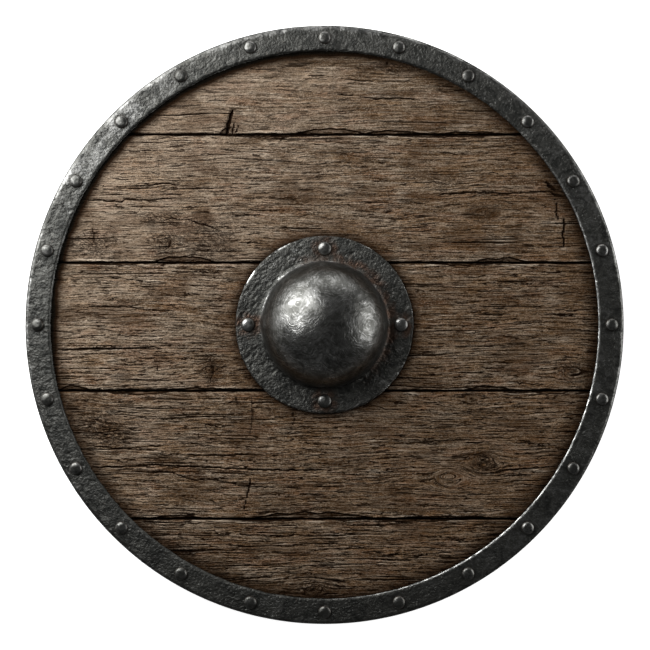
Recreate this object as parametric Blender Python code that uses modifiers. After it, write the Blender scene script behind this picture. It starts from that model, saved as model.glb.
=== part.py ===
"""A wooden round shield: five planks held by a riveted iron rim, with an iron boss and a wooden grip.

Metres, +Z up. The shield lies on its back, boss up. The planks run along X, and plank_1 is the one
furthest along +Y. The origin is on the ground under the middle of the grip, which the shield rests on.
"""

import math

import bmesh
import bpy

# Driving sizes: a 24 inch shield, with a boss that covers a clenched hand.
SHIELD_RADIUS = 0.305
BOARD_THICKNESS = 0.012
FIT_GAP = 0.0003  # air left where two pieces touch

PLANK_COUNT = 5
PLANK_PITCH = 0.1305
PLANK_GAP = 0.0006  # open joint between two planks
PLANK_SHIFT = -0.0019  # the round was sawn a little off the middle plank's centre line
PLANK_WORN_EDGE = 0.0012
BOARD_EDGE_GAP = 0.001  # from the board's edge to the inside of the rim
HAND_HOLE_RADIUS = 0.056
HAND_HOLE_SIDES = 40

RIM_SHEET = 0.0024
RIM_FACE_WIDTH = 0.0268
RIM_BACK_WIDTH = 0.0225
RIM_BEND = 0.0034  # radius of the bent outer edge
RIM_LIP_BEVEL = 0.0018
RIM_STEPS = 72

BOSS_SHEET = 0.0025
BOSS_FLANGE_RADIUS = 0.091
BOSS_FLANGE_BEVEL = 0.0009
BOSS_DOME_RADIUS = 0.0642
BOSS_DOME_HEIGHT = 0.056  # from the top of the root fillet to the crown
BOSS_ROOT_FILLET = 0.0042
BOSS_STEPS = 40

RIM_RIVET_COUNT = 24
RIM_RIVET_CIRCLE = 0.292
RIM_RIVET_HEAD_RADIUS = 0.0061
BOSS_RIVET_COUNT = 4
BOSS_RIVET_CIRCLE = 0.0777
BOSS_RIVET_HEAD_RADIUS = 0.0065
RIVET_HEAD_HEIGHT = 0.0036
RIVET_SHANK_RADIUS = 0.0028
RIVET_TAIL_RADIUS = 0.0044
RIVET_TAIL_HEIGHT = 0.0014
RIVET_STEPS = 8
RIVET_HOLE_SIDES = 6
RIVET_HOLE_RADIUS = (RIVET_SHANK_RADIUS + FIT_GAP) / math.cos(math.pi / RIVET_HOLE_SIDES)

GRIP_WIDTH = 0.030
GRIP_LENGTH = 0.196
GRIP_LAP_THICKNESS = 0.006  # the thin ends that lie against the board
GRIP_LAP_ROUND = 0.0008
GRIP_HEIGHT = 0.018  # the thick middle, which stands up into the hand hole
GRIP_MIDDLE_LENGTH = 0.090
GRIP_SHOULDER_LENGTH = 0.008
GRIP_TOP_ROUND = 0.008
GRIP_BOTTOM_ROUND = 0.004
TAIL_POCKET_RADIUS = 0.0058
TAIL_POCKET_DEPTH = 0.0022
TAIL_POCKET_SIDES = 12

# Heights of the stack, from the ground up.
BOARD_BACK = GRIP_LAP_THICKNESS + FIT_GAP
BOARD_FACE = BOARD_BACK + BOARD_THICKNESS
IRON_SEAT = BOARD_FACE + FIT_GAP
RIM_TOP = IRON_SEAT + RIM_SHEET
RIM_BOTTOM = BOARD_BACK - FIT_GAP - RIM_SHEET
BOSS_FLANGE_TOP = IRON_SEAT + BOSS_SHEET
CUTTER_BOTTOM = -0.01
CUTTER_TOP = RIM_TOP + 0.01

RIM_INNER_WALL = SHIELD_RADIUS - RIM_SHEET
BOARD_RADIUS = RIM_INNER_WALL - BOARD_EDGE_GAP

WOOD_COLOUR = (0.13, 0.088, 0.060)
GRIP_COLOUR = (0.16, 0.10, 0.060)
RIM_COLOUR = (0.080, 0.082, 0.084)
BOSS_COLOUR = (0.090, 0.092, 0.095)
RIVET_COLOUR = (0.11, 0.11, 0.11)
SHARP_ANGLE = math.radians(35)


def clear_scene():
    for obj in list(bpy.data.objects):
        bpy.data.objects.remove(obj)


def new_collection(name):
    collection = bpy.data.collections.new(name)
    bpy.context.scene.collection.children.link(collection)
    return collection


def new_material(name, colour, roughness, metallic):
    material = bpy.data.materials.new(name)
    material.use_nodes = True
    shader = material.node_tree.nodes["Principled BSDF"]
    shader.inputs["Base Color"].default_value = (*colour, 1)
    shader.inputs["Roughness"].default_value = roughness
    shader.inputs["Metallic"].default_value = metallic
    return material


def add_object(name, mesh, collection, material=None, location=(0, 0, 0), turn=0.0):
    obj = bpy.data.objects.new(name, mesh)
    obj.location = location
    obj.rotation_euler.z = turn
    if material and not mesh.materials:
        mesh.materials.append(material)
    collection.objects.link(obj)
    return obj


def mesh_from(name, shape):
    mesh = bpy.data.meshes.new(name)
    shape.to_mesh(mesh)
    shape.free()
    return mesh


def arc(centre, radius, start, end, parts):
    """Points on an arc from one angle to another, in degrees, both ends included."""
    angles = [math.radians(start + (end - start) * i / parts) for i in range(parts + 1)]
    return [(centre[0] + radius * math.cos(a), centre[1] + radius * math.sin(a)) for a in angles]


def quarter_ellipse(radius, base, crown, parts):
    """(radius, height) points from the axis at the crown down to the widest point at the base."""
    turns = [math.pi / 2 * i / parts for i in range(parts + 1)]
    return [(radius * math.sin(t), base + (crown - base) * math.cos(t)) for t in turns]


def places_on_circle(count, radius):
    """(x, y) places evenly round a circle, from +X on."""
    angles = [2 * math.pi * i / count for i in range(count)]
    return [(radius * math.cos(a), radius * math.sin(a)) for a in angles]


def turned_mesh(name, profile, steps, closed=False):
    """The (radius, height) points of a profile turned about Z, with its creases kept sharp."""
    shape = bmesh.new()
    corners = [shape.verts.new((radius, 0, height)) for radius, height in profile]
    for first, second in zip(corners, corners[1:]):
        shape.edges.new((first, second))
    if closed:
        shape.edges.new((corners[-1], corners[0]))
    guide = add_object(name, mesh_from(name, shape), bpy.context.scene.collection)
    screw = guide.modifiers.new("Turn", "SCREW")
    screw.steps = steps
    screw.render_steps = steps
    screw.use_merge_vertices = True
    screw.merge_threshold = 0.00001
    evaluated = guide.evaluated_get(bpy.context.evaluated_depsgraph_get())
    turned = bpy.data.meshes.new_from_object(evaluated)
    bpy.data.objects.remove(guide)
    turned.shade_smooth()
    turned.set_sharp_from_angle(angle=SHARP_ANGLE)
    return turned


def boolean(obj, cutter, operation="DIFFERENCE"):
    modifier = obj.modifiers.new(operation.title(), "BOOLEAN")
    modifier.operation = operation
    modifier.solver = "EXACT"
    modifier.object = cutter


def add_cutter(name, places, radius, top, sides, cutters, turn=0.0):
    """One hidden object holding an upright cylinder at each (x, y) place, from below the ground up."""
    shape = bmesh.new()
    depth = top - CUTTER_BOTTOM
    for x, y in places:
        cylinder = bmesh.ops.create_cone(
            shape, cap_ends=True, segments=sides, radius1=radius, radius2=radius, depth=depth
        )
        bmesh.ops.translate(shape, verts=cylinder["verts"], vec=(x, y, CUTTER_BOTTOM + depth / 2))
    cutter = add_object(name, mesh_from(name, shape), cutters, turn=turn)
    cutter.hide_render = True
    cutter.display_type = "WIRE"
    return cutter


def add_plank(number, board_disc, holes, parts, wood):
    """A plank with worn long edges on its face, sawn to the board's round outline."""
    middle = PLANK_SHIFT + PLANK_PITCH * ((PLANK_COUNT + 1) / 2 - number)
    width = PLANK_PITCH - PLANK_GAP
    if number in (1, PLANK_COUNT):
        # An outer plank starts out wider, so that the round outline cuts all of its free edge.
        spare = 0.1 * PLANK_PITCH
        middle += math.copysign(spare / 2, middle)
        width += spare
    shape = bmesh.new()
    bmesh.ops.create_cube(shape, size=1)
    bmesh.ops.scale(shape, verts=shape.verts, vec=(2.2 * SHIELD_RADIUS, width, BOARD_THICKNESS))
    face_edges = [e for e in shape.edges if all(v.co.z > 0 for v in e.verts)]
    long_edges = [e for e in face_edges if e.calc_length() > 2 * SHIELD_RADIUS]
    bmesh.ops.bevel(
        shape, geom=long_edges, offset=PLANK_WORN_EDGE, affect="EDGES", segments=1, profile=0.5
    )
    name = f"plank_{number}"
    height = (BOARD_BACK + BOARD_FACE) / 2
    plank = add_object(name, mesh_from(name, shape), parts, wood, (0, middle, height))
    boolean(plank, board_disc, "INTERSECT")
    for cutter in holes:
        boolean(plank, cutter)


def rim_profile():
    """The rim's U section: from the front lip over the bent edge to the back lip, then back inside."""
    front_lip = SHIELD_RADIUS - RIM_FACE_WIDTH
    back_lip = SHIELD_RADIUS - RIM_BACK_WIDTH
    bend_centre = SHIELD_RADIUS - RIM_BEND
    points = [(front_lip, IRON_SEAT), (front_lip, RIM_TOP - RIM_LIP_BEVEL / 2)]
    points += [(front_lip + RIM_LIP_BEVEL, RIM_TOP)]
    points += arc((bend_centre, RIM_TOP - RIM_BEND), RIM_BEND, 90, 0, 3)
    points += arc((bend_centre, RIM_BOTTOM + RIM_BEND), RIM_BEND, 0, -90, 2)
    points += [(back_lip, RIM_BOTTOM), (back_lip, RIM_BOTTOM + RIM_SHEET)]
    points += [(RIM_INNER_WALL, RIM_BOTTOM + RIM_SHEET), (RIM_INNER_WALL, IRON_SEAT)]
    return points


def add_rim(rivet_holes, parts, iron):
    # Turned by half a step, so that each rivet stands in the middle of a flat facet.
    mesh = turned_mesh("rim_band", rim_profile(), RIM_STEPS, closed=True)
    rim = add_object("rim_band", mesh, parts, iron, turn=math.pi / RIM_STEPS)
    boolean(rim, rivet_holes)


def boss_profile():
    """The boss from its crown down the outside, round the flange and back up the inside."""
    dome_base = BOSS_FLANGE_TOP + BOSS_ROOT_FILLET
    crown = dome_base + BOSS_DOME_HEIGHT
    inner_radius = BOSS_DOME_RADIUS - BOSS_SHEET
    root_centre = (BOSS_DOME_RADIUS + BOSS_ROOT_FILLET, dome_base)
    points = quarter_ellipse(BOSS_DOME_RADIUS, dome_base, crown, 9)
    points += arc(root_centre, BOSS_ROOT_FILLET, 180, 270, 3)[1:]
    points += [(BOSS_FLANGE_RADIUS - BOSS_FLANGE_BEVEL, BOSS_FLANGE_TOP)]
    points += [(BOSS_FLANGE_RADIUS, BOSS_FLANGE_TOP - BOSS_FLANGE_BEVEL), (BOSS_FLANGE_RADIUS, IRON_SEAT)]
    points += [(inner_radius + BOSS_ROOT_FILLET, IRON_SEAT)]
    points += reversed(quarter_ellipse(inner_radius, dome_base, crown - BOSS_SHEET, 6))
    return points


def add_boss(rivet_holes, parts, iron):
    # Turned by half a step, so that each rivet hole lies within one facet.
    mesh = turned_mesh("boss", boss_profile(), BOSS_STEPS)
    boss = add_object("boss", mesh, parts, iron, turn=math.pi / BOSS_STEPS)
    boolean(boss, rivet_holes)


def rounded_section(height, top_round, bottom_round):
    """(x, z) points round the grip's section, four to a corner, counter-clockwise from +X."""
    points = []
    for corner, radius in enumerate((top_round, top_round, bottom_round, bottom_round)):
        side = 1 if corner in (0, 3) else -1
        level = height - radius if corner < 2 else radius
        centre = (side * (GRIP_WIDTH / 2 - radius), level)
        points += arc(centre, radius, 90 * corner, 90 * corner + 90, 3)
    return points


def grip_mesh():
    """A bar along Y with thin ends that lie on the board and a thick, rounded middle for the hand."""
    lap = rounded_section(GRIP_LAP_THICKNESS, GRIP_LAP_ROUND, GRIP_LAP_ROUND)
    middle = rounded_section(GRIP_HEIGHT, GRIP_TOP_ROUND, GRIP_BOTTOM_ROUND)
    thick_to = GRIP_MIDDLE_LENGTH / 2
    thin_from = thick_to + GRIP_SHOULDER_LENGTH
    shape = bmesh.new()
    bmesh.ops.create_cone(
        shape, cap_ends=True, segments=len(lap), radius1=1, radius2=1, depth=GRIP_LENGTH
    )
    quarter_turn = ((1, 0, 0), (0, 0, 1), (0, -1, 0))
    for corner in shape.verts:
        corner.co = [sum(row[i] * corner.co[i] for i in range(3)) for row in quarter_turn]
    for y in (-thin_from, -thick_to, thick_to, thin_from):
        everything = [*shape.verts, *shape.edges, *shape.faces]
        bmesh.ops.bisect_plane(shape, geom=everything, plane_co=(0, y, 0), plane_no=(0, 1, 0))
    step = 2 * math.pi / len(lap)
    for corner in shape.verts:
        section = lap if abs(corner.co.y) > (thick_to + thin_from) / 2 else middle
        place = round(math.atan2(corner.co.z, corner.co.x) / step) % len(section)
        corner.co.x, corner.co.z = section[place]
    return mesh_from("grip", shape)


def add_grip(cutters_for_grip, parts, wood):
    mesh = grip_mesh()
    mesh.shade_smooth()
    mesh.set_sharp_from_angle(angle=SHARP_ANGLE)
    grip = add_object("grip", mesh, parts, wood)
    for cutter in cutters_for_grip:
        boolean(grip, cutter)


def rivet_profile(head_radius, head_seat, tail_seat):
    """A low domed head, the shank through the stack, and the tail hammered over behind it."""
    top = head_seat + RIVET_HEAD_HEIGHT
    bottom = tail_seat - RIVET_TAIL_HEIGHT
    return [
        (0, top),
        (head_radius * 0.62, top - RIVET_HEAD_HEIGHT * 0.16),
        (head_radius, head_seat + RIVET_HEAD_HEIGHT * 0.3),
        (head_radius, head_seat),
        (RIVET_SHANK_RADIUS, head_seat),
        (RIVET_SHANK_RADIUS, tail_seat),
        (RIVET_TAIL_RADIUS, tail_seat),
        (RIVET_TAIL_RADIUS * 0.75, bottom),
        (0, bottom),
    ]


def add_rivets(names, places, profile, parts, iron):
    """One rivet at each place, all sharing one mesh."""
    mesh = turned_mesh("rivet", profile, RIVET_STEPS)
    for name, (x, y) in zip(names, places):
        add_object(name, mesh, parts, iron, (x, y, 0), math.atan2(y, x))


def build():
    clear_scene()
    parts = new_collection("wooden_round_shield")
    cutters = new_collection("cutters")
    wood = new_material("weathered_oak", WOOD_COLOUR, 0.8, 0.0)
    grip_wood = new_material("handled_oak", GRIP_COLOUR, 0.6, 0.0)
    rim_iron = new_material("rim_iron", RIM_COLOUR, 0.55, 1.0)
    boss_iron = new_material("boss_iron", BOSS_COLOUR, 0.4, 1.0)
    rivet_iron = new_material("rivet_iron", RIVET_COLOUR, 0.4, 1.0)

    rim_places = places_on_circle(RIM_RIVET_COUNT, RIM_RIVET_CIRCLE)
    boss_places = places_on_circle(BOSS_RIVET_COUNT, BOSS_RIVET_CIRCLE)
    side_places = boss_places[0::2]
    grip_places = boss_places[1::2]

    half_step = math.pi / RIM_STEPS
    hole = (RIVET_HOLE_RADIUS, CUTTER_TOP, RIVET_HOLE_SIDES)
    pocket = (TAIL_POCKET_RADIUS, TAIL_POCKET_DEPTH, TAIL_POCKET_SIDES)
    centre = [(0, 0)]
    board_disc = add_cutter("board_disc", centre, BOARD_RADIUS, CUTTER_TOP, RIM_STEPS, cutters, half_step)
    hand_hole = add_cutter("hand_hole", centre, HAND_HOLE_RADIUS, CUTTER_TOP, HAND_HOLE_SIDES, cutters)
    rim_holes = add_cutter("rim_holes", rim_places, *hole, cutters)
    boss_holes = add_cutter("boss_holes", boss_places, *hole, cutters)
    tail_pockets = add_cutter("tail_pockets", grip_places, *pocket, cutters)

    for number in range(1, PLANK_COUNT + 1):
        holes = [rim_holes]
        if 1 < number < PLANK_COUNT:
            holes.append(boss_holes)
        if number == (PLANK_COUNT + 1) // 2:
            holes.append(hand_hole)
        add_plank(number, board_disc, holes, parts, wood)
    add_rim(rim_holes, parts, rim_iron)
    add_boss(boss_holes, parts, boss_iron)
    add_grip([boss_holes, tail_pockets], parts, grip_wood)

    rim_rivet = rivet_profile(RIM_RIVET_HEAD_RADIUS, RIM_TOP + FIT_GAP, RIM_BOTTOM - FIT_GAP)
    names = [f"rim_rivet_{i + 1:02d}" for i in range(RIM_RIVET_COUNT)]
    add_rivets(names, rim_places, rim_rivet, parts, rivet_iron)

    boss_seat = BOSS_FLANGE_TOP + FIT_GAP
    side_rivet = rivet_profile(BOSS_RIVET_HEAD_RADIUS, boss_seat, BOARD_BACK - FIT_GAP)
    add_rivets(["boss_rivet_right", "boss_rivet_left"], side_places, side_rivet, parts, rivet_iron)
    grip_rivet = rivet_profile(BOSS_RIVET_HEAD_RADIUS, boss_seat, TAIL_POCKET_DEPTH - FIT_GAP)
    add_rivets(["boss_rivet_top", "boss_rivet_bottom"], grip_places, grip_rivet, parts, rivet_iron)


build()
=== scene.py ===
"""The looks of a wooden round shield: weathered oak planks, forged iron rim, boss and rivets, and a grip.

Metres, +Z up. The shield lies on its back, and its planks run along X. The surfaces' own relief is
worked out in millimetres, and the frame gives every place and outer size.
"""

import functools
import math

import bmesh
import bpy
import numpy as np
from bpy.props import FloatProperty, FloatVectorProperty, PointerProperty
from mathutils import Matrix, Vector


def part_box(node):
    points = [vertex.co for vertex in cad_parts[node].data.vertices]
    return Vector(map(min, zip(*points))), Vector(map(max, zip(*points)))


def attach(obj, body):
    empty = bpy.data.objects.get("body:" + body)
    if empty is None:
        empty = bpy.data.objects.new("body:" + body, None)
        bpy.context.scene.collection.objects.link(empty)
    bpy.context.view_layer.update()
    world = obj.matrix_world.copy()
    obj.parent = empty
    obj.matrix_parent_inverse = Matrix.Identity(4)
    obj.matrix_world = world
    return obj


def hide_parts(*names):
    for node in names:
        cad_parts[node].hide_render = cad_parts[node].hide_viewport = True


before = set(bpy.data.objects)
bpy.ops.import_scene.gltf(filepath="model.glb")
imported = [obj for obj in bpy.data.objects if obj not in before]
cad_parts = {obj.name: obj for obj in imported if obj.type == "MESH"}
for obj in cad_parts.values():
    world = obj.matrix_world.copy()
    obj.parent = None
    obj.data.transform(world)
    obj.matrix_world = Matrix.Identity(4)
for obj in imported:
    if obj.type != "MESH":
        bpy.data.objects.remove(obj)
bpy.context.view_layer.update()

bl_info = {
    "name": "Wooden Round Shield",
    "version": (1, 0, 0),
    "blender": (4, 5, 0),
    "location": "3D View > Sidebar > Shield",
    "description": "Builds a weathered oak round shield with forged iron fittings",
    "category": "Object",
}

MM = 0.001


def heights_and_reach(node):
    """A piece's lowest and highest place and its reach from the middle to the right, in millimetres."""
    low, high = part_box(node)
    return low.z / MM, high.z / MM, high.x / MM


# Places and outer sizes, from the frame.
RIM = heights_and_reach("rim_band")
BOSS = heights_and_reach("boss")
BOARD_BACK, _, BOARD_RADIUS = heights_and_reach("plank_3")
PLANKS = [f"plank_{number}" for number in range(1, 6)]
RIM_RIVETS = sorted(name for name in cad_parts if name.startswith("rim_rivet_"))
BOSS_RIVETS = sorted(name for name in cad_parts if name.startswith("boss_rivet_"))
JOINT_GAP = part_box("plank_2")[0].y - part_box("plank_3")[1].y - 2e-6

# The fittings' own sizes, in millimetres.
RIM_LIP = RIM[2] - 26.5  # the inner edge of the rim's face
RIM_MIDDLE = 292  # the middle of the rim's face
RIM_SHEET = 2.4
LIP_INSETS = (0, 0.2, 1.9, 3.4, 7)  # the corners of the rim's bevelled lip, from its edge, and its end
BOSS_SHEET = 2.5
HAND_HOLE = 56
RIVET_HOLE = 3.1
BLOWS = ((-27, 21, 73), (44, 1, 64), (4, 45, 64))  # the deepest dents of the dome

# The planks' mesh, in millimetres: fine enough on the face for a drying crack to have walls.
FACE_ROW = 0.72
EDGE_ROW = 0.42
EDGE_REACH = 5.0
COLUMN = 1.5
BACK_ROW = 6.0
WALL_ROWS = 6
WORN_DOWN = 0.75  # how far the weathered face lies below the sawn one

# Long drying cracks, blows and soft scars that can be told apart, by plank: points (x, y) along each,
# then its half width, its depth and how much dirt it holds.
LONG_CRACKS = {
    1: [
        ([(-93, 221), (-97, 208), (-100, 193)], 2.5, 3.6, 1.0),
        ([(-91, 207), (-95, 194)], 1.1, 1.6, 1.0),
        ([(-88, 203), (-90, 195)], 0.9, 1.2, 1.0),
        ([(-18, 254), (5, 253)], 0.7, 1.0, 0.9),
        ([(15, 251), (33, 249), (51, 248)], 0.8, 1.3, 1.0),
        ([(13, 234), (30, 234)], 0.8, 1.2, 1.0),
        ([(36, 233), (53, 230), (75, 231), (97, 229)], 1.0, 1.8, 1.0),
        ([(64, 268), (63, 262)], 0.7, 1.2, 0.9),
        ([(110, 262), (111, 254)], 0.6, 0.9, 0.7),
    ],
    2: [
        ([(-246, 127), (-219, 126), (-207, 125), (-203, 128), (-182, 127), (-150, 129)], 0.9, 1.9, 1.0),
        ([(-219, 133), (-206, 132.6)], 0.9, 1.2, 1.0),
        ([(-201, 113), (-197, 114), (-191, 113.5), (-183, 124)], 0.6, 0.9, 0.8),
        ([(-165, 106), (-156, 109), (-146, 106)], 0.8, 1.1, 0.9),
        ([(-139, 107), (-124, 102), (-107, 97)], 0.8, 1.3, 1.0),
        ([(-76, 117), (-58, 116.5), (-40, 117)], 0.8, 1.2, 1.0),
        ([(-98, 111.5), (-63, 112)], 0.8, 1.1, 1.0),
        ([(-236, 99), (-235, 88), (-236, 78)], 1.1, 0.9, 0.7),
        ([(-158, 143), (-147, 142.6)], 0.7, 1.0, 1.0),
        ([(-159, 139.6), (-148, 139.4)], 0.8, 1.0, 1.0),
        ([(-157, 86), (-159, 79)], 1.2, 1.0, 0.9),
        ([(-183, 184), (-182, 160)], 1.0, 0.6, 0.35),
        ([(-170, 184), (-169, 150), (-171, 138)], 1.0, 0.7, 0.4),
        ([(115, 133), (154, 135), (186, 133), (207, 135), (229, 136)], 0.9, 1.8, 1.0),
        ([(243, 112), (244.5, 101), (242.5, 92), (244, 83), (243, 73)], 1.2, 1.7, 1.0),
        ([(235, 128), (237, 121), (235, 115), (238, 109), (237, 104)], 0.8, 1.2, 0.9),
        ([(226, 145), (230, 141), (236, 137)], 2.4, 2.2, 1.0),
        ([(229, 136), (235, 132), (243, 131)], 1.6, 1.6, 1.0),
        ([(192, 107), (190, 90), (203, 76)], 1.0, 0.4, 0.3),
    ],
    3: [
        ([(-275, -26), (-240, -24), (-210, -25), (-171, -23)], 0.9, 1.6, 1.0),
        ([(-248, 18), (-215, 19), (-183, 17)], 0.8, 1.3, 1.0),
        ([(-171, -40), (-169, -50)], 0.9, 1.0, 0.8),
        ([(-118, -32), (-113, -45), (-117, -61)], 1.1, 0.8, 0.6),
    ],
    4: [
        ([(-236, -146), (-177, -143), (-110, -145.6), (-52, -148), (0, -148)], 0.9, 2.0, 1.0),
        ([(-241, -123), (-191, -127), (-168, -128)], 0.7, 1.2, 0.9),
        ([(-177, -149), (-156, -150.5), (-134, -158), (-110, -158), (-81, -164), (-50, -166)], 0.7, 1.2, 1.0),
        ([(-75, -72), (-73, -90), (-77, -117)], 1.5, 0.6, 0.55),
        ([(-90, -72), (-89, -82)], 1.9, 0.6, 0.6),
        ([(-92, -84), (-93, -112)], 1.6, 0.3, 0.3),
        ([(-75, -155), (-79, -174), (-83, -192)], 1.0, 1.6, 0.95),
        ([(-128, -103), (-129, -116), (-129, -129)], 0.6, 0.8, 0.7),
        ([(-32, -89), (-31, -97), (-33, -104)], 0.8, 1.2, 0.9),
        ([(85, -120), (120, -118), (152, -117)], 0.8, 1.3, 1.0),
    ],
    5: [
        ([(58, -239), (75, -240), (89, -239)], 0.8, 1.2, 1.0),
        ([(115, -236), (136, -238)], 0.8, 1.2, 1.0),
    ],
}

# Knots, by plank: (x, y, radius, how rough, how much the grain bends round it).
KNOTS = {
    1: [],
    2: [(-160, 84, 9, 0.7, 0.1), (82, 112, 4, 0.3, 0.1), (164, 114, 9, 0.5, 0.1)],
    3: [(252, -49, 7, 0.7, 0.3), (-116, -46, 7, 0.7, 0.1)],
    4: [
        (-231, -103, 12, 0.9, 0.08),
        (-208, -115, 9, 0.8, 0.08),
        (150, -76, 5, 0.5, 0.3),
        (162, -140, 6, 0.5, 0.8),
        (128, -157, 6, 0.05, 0.8),
    ],
    5: [(-8, -270, 6, 0.8, 0.3)],
}

# Dark patches in the wood, by plank: (x, y, half length, half height, strength).
STAINS = {
    1: [(120, 215, 60, 16, 0.25)],
    2: [
        (-122, 110, 15, 10, 0.8),
        (-115, 84, 34, 14, 0.5),
        (-205, 84, 34, 12, 0.35),
        (160, 113, 24, 10, 0.75),
        (196, 90, 8, 20, 0.6),
        (108, 153, 32, 9, 0.4),
        (232, 138, 12, 9, 0.7),
        (-236, 88, 6, 12, 0.6),
    ],
    3: [(-113, -46, 10, 20, 0.6), (120, 30, 70, 15, 0.3)],
    4: [
        (-162, -137, 14, 6, 0.8),
        (211, -175, 24, 12, 0.6),
        (-83, -92, 13, 26, 0.4),
        (-150, -82, 26, 8, 0.35),
        (-40, -178, 60, 12, 0.3),
    ],
    5: [(-120, -235, 50, 14, 0.3)],
}

# Crazed patches, where the face has broken into small cells: (x, y, half length, half height, depth).
CRAZED = {
    1: [(80, 262, 60, 8, 0.25)],
    2: [
        (-238, 80, 36, 18, 0.35),
        (-160, 84, 26, 18, 0.6),
        (-118, 86, 40, 24, 0.45),
        (-165, 108, 30, 10, 0.35),
    ],
    3: [(-115, -46, 14, 20, 0.5), (250, -45, 22, 14, 0.4)],
    4: [(-228, -106, 34, 22, 0.55), (-165, -137, 22, 8, 0.4), (160, -140, 24, 14, 0.35)],
    5: [(-10, -268, 26, 9, 0.4), (-150, -232, 30, 12, 0.3)],
}

# How pale each plank is painted at its left and right ends, from 1 for pale grey to -1 for dark and warm:
# partly the oak's own tone and partly painted light, paler on the upper left, where the key light comes from,
# and darker away from it.
TONES = {1: (0.84, -0.4), 2: (0.72, -0.42), 3: (0.35, -0.3), 4: (0.18, -0.45), 5: (0.2, -0.5)}

# How much each plank has split as it dried, where 1 is usual.
SPLIT = {1: 0.66, 2: 0.88, 3: 1.0, 4: 1.12, 5: 1.35}

# Drying cracks that the script strews, short ones first: the face that each has to itself, then the ranges
# of their length, half width and depth, how much dirt they hold, and a seed.
CHECKS = (
    (380, (5, 22), (0.3, 0.42), (0.3, 0.7), 0.9, 100),
    (420, (12, 44), (0.33, 0.54), (0.5, 1.2), 1.0, 200),
    (4500, (50, 140), (0.5, 0.8), (0.9, 1.8), 1.0, 300),
)

# Worn hollows along the joints, by plank and side (1 is the upper edge): (x, half length, reach in, drop).
EDGE_WEAR = {
    (1, -1): [(6, 40, 6, 2.2), (70, 34, 4, 2.0), (-98, 9, 8, 2.4), (150, 40, 3, 1.4)],
    (2, 1): [(-60, 60, 3, 1.0), (120, 70, 3, 1.2)],
    (2, -1): [(-143, 34, 6.5, 2.2), (180, 30, 5, 2.2), (30, 30, 3, 1.4)],
    (3, 1): [(-210, 30, 3, 1.2), (140, 40, 3, 1.2)],
    (3, -1): [(-255, 18, 5, 2.2), (167, 26, 5, 2.2), (-120, 60, 3, 1.4)],
    (4, 1): [(-190, 40, 4, 1.4), (230, 22, 4, 1.6)],
    (4, -1): [(-12, 66, 7, 2.4), (-150, 30, 4, 1.8), (120, 60, 3, 1.4)],
    (5, 1): [(-60, 40, 3, 1.4), (90, 50, 3, 1.2)],
}


def linear(code):
    """An sRGB hex colour as the linear values that shaders take."""
    channels = [int(code[i : i + 2], 16) / 255 for i in (1, 3, 5)]
    return [c / 12.92 if c <= 0.04045 else ((c + 0.055) / 1.055) ** 2.4 for c in channels]


def colour_property(name, description, code):
    return FloatVectorProperty(
        name=name, description=description, default=linear(code), size=3, min=0, max=1, subtype="COLOR"
    )


def length_property(name, description, default):
    return FloatProperty(
        name=name, description=description, default=default, min=0, subtype="DISTANCE", unit="LENGTH"
    )


class ShieldWood(bpy.types.PropertyGroup):
    """The weathering and colours of the oak."""

    crack_depth: FloatProperty(
        name="Crack Depth",
        description="Depth of the drying cracks",
        default=1.0,
        min=0,
        max=1.5,
        subtype="FACTOR",
    )
    joint_wear: length_property("Joint Wear", "Rounding of the planks' long edges", 0.0022)
    ridge: colour_property("Ridge", "Grain worn clean on the high places", "#a69684")
    # Also the colour of the highlight painted on the cracks' lower lips.
    pale: colour_property("Pale", "Lips and ridges that catch every touch", "#c8b8a4")
    body: colour_property("Body", "The oak between ridges and grooves", "#6f5d48")
    groove: colour_property("Groove", "Dirt in the open grain", "#3a2613")
    # Also laid on as painted shade beside the rim and the boss.
    crack: colour_property("Crack", "The bottom of cracks and joints", "#180c03")
    # The near black of the rim's shadow, painted on the wood.
    soot: colour_property("Soot", "Soot packed where the rim shelters the wood", "#080603")
    grey: colour_property("Grey", "Oak silvered by the weather", "#695e50")
    red: colour_property("Red", "Reddish patches of newer wood", "#7d5439")
    warm: colour_property("Warm", "Oak that kept its warm tone", "#6e5034")
    gold: colour_property("Gold", "Yellow brown patches of newer wood", "#8b6b49")


class ShieldIron(bpy.types.PropertyGroup):
    """The forging and colours of the iron."""

    dent_depth: length_property("Dent Depth", "Depth of the deepest hammer marks", 0.00034)
    thick: colour_property("Thick Scale", "Forge scale where it is thickest", "#292a29")
    scale: colour_property("Scale", "Dark forge scale", "#4c4c49")
    bare: colour_property("Bare", "Iron rubbed clean of its scale", "#8a8a88")
    # Also the colour of the painted highlights on the iron.
    bright: colour_property("Bright", "Edges and crowns polished by handling", "#d0d1ce")
    rust: colour_property("Rust", "Thin rust where water lies", "#4d3c32")


class ShieldStage(bpy.types.PropertyGroup):
    """The floor, lights and camera."""

    floor: colour_property("Floor", "The pale studio floor", "#f2f2f1")
    glow: FloatProperty(
        name="Glow", description="Light through the floor, as on a light table", default=0.95, min=0
    )
    camera_height: length_property("Camera Height", "From the floor to the camera", 1.9)
    view_width: length_property("View Width", "Width that the camera takes in at the rim's face", 0.6607)


# ---- patterns


def fade(t):
    return t * t * t * (t * (6 * t - 15) + 10)


@functools.lru_cache(maxsize=64)
def leanings(seed):
    """The slopes that noise starts from, on a grid that repeats."""
    angle = np.random.default_rng(seed).uniform(0, 2 * np.pi, (256, 256))
    return np.cos(angle), np.sin(angle)


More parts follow.
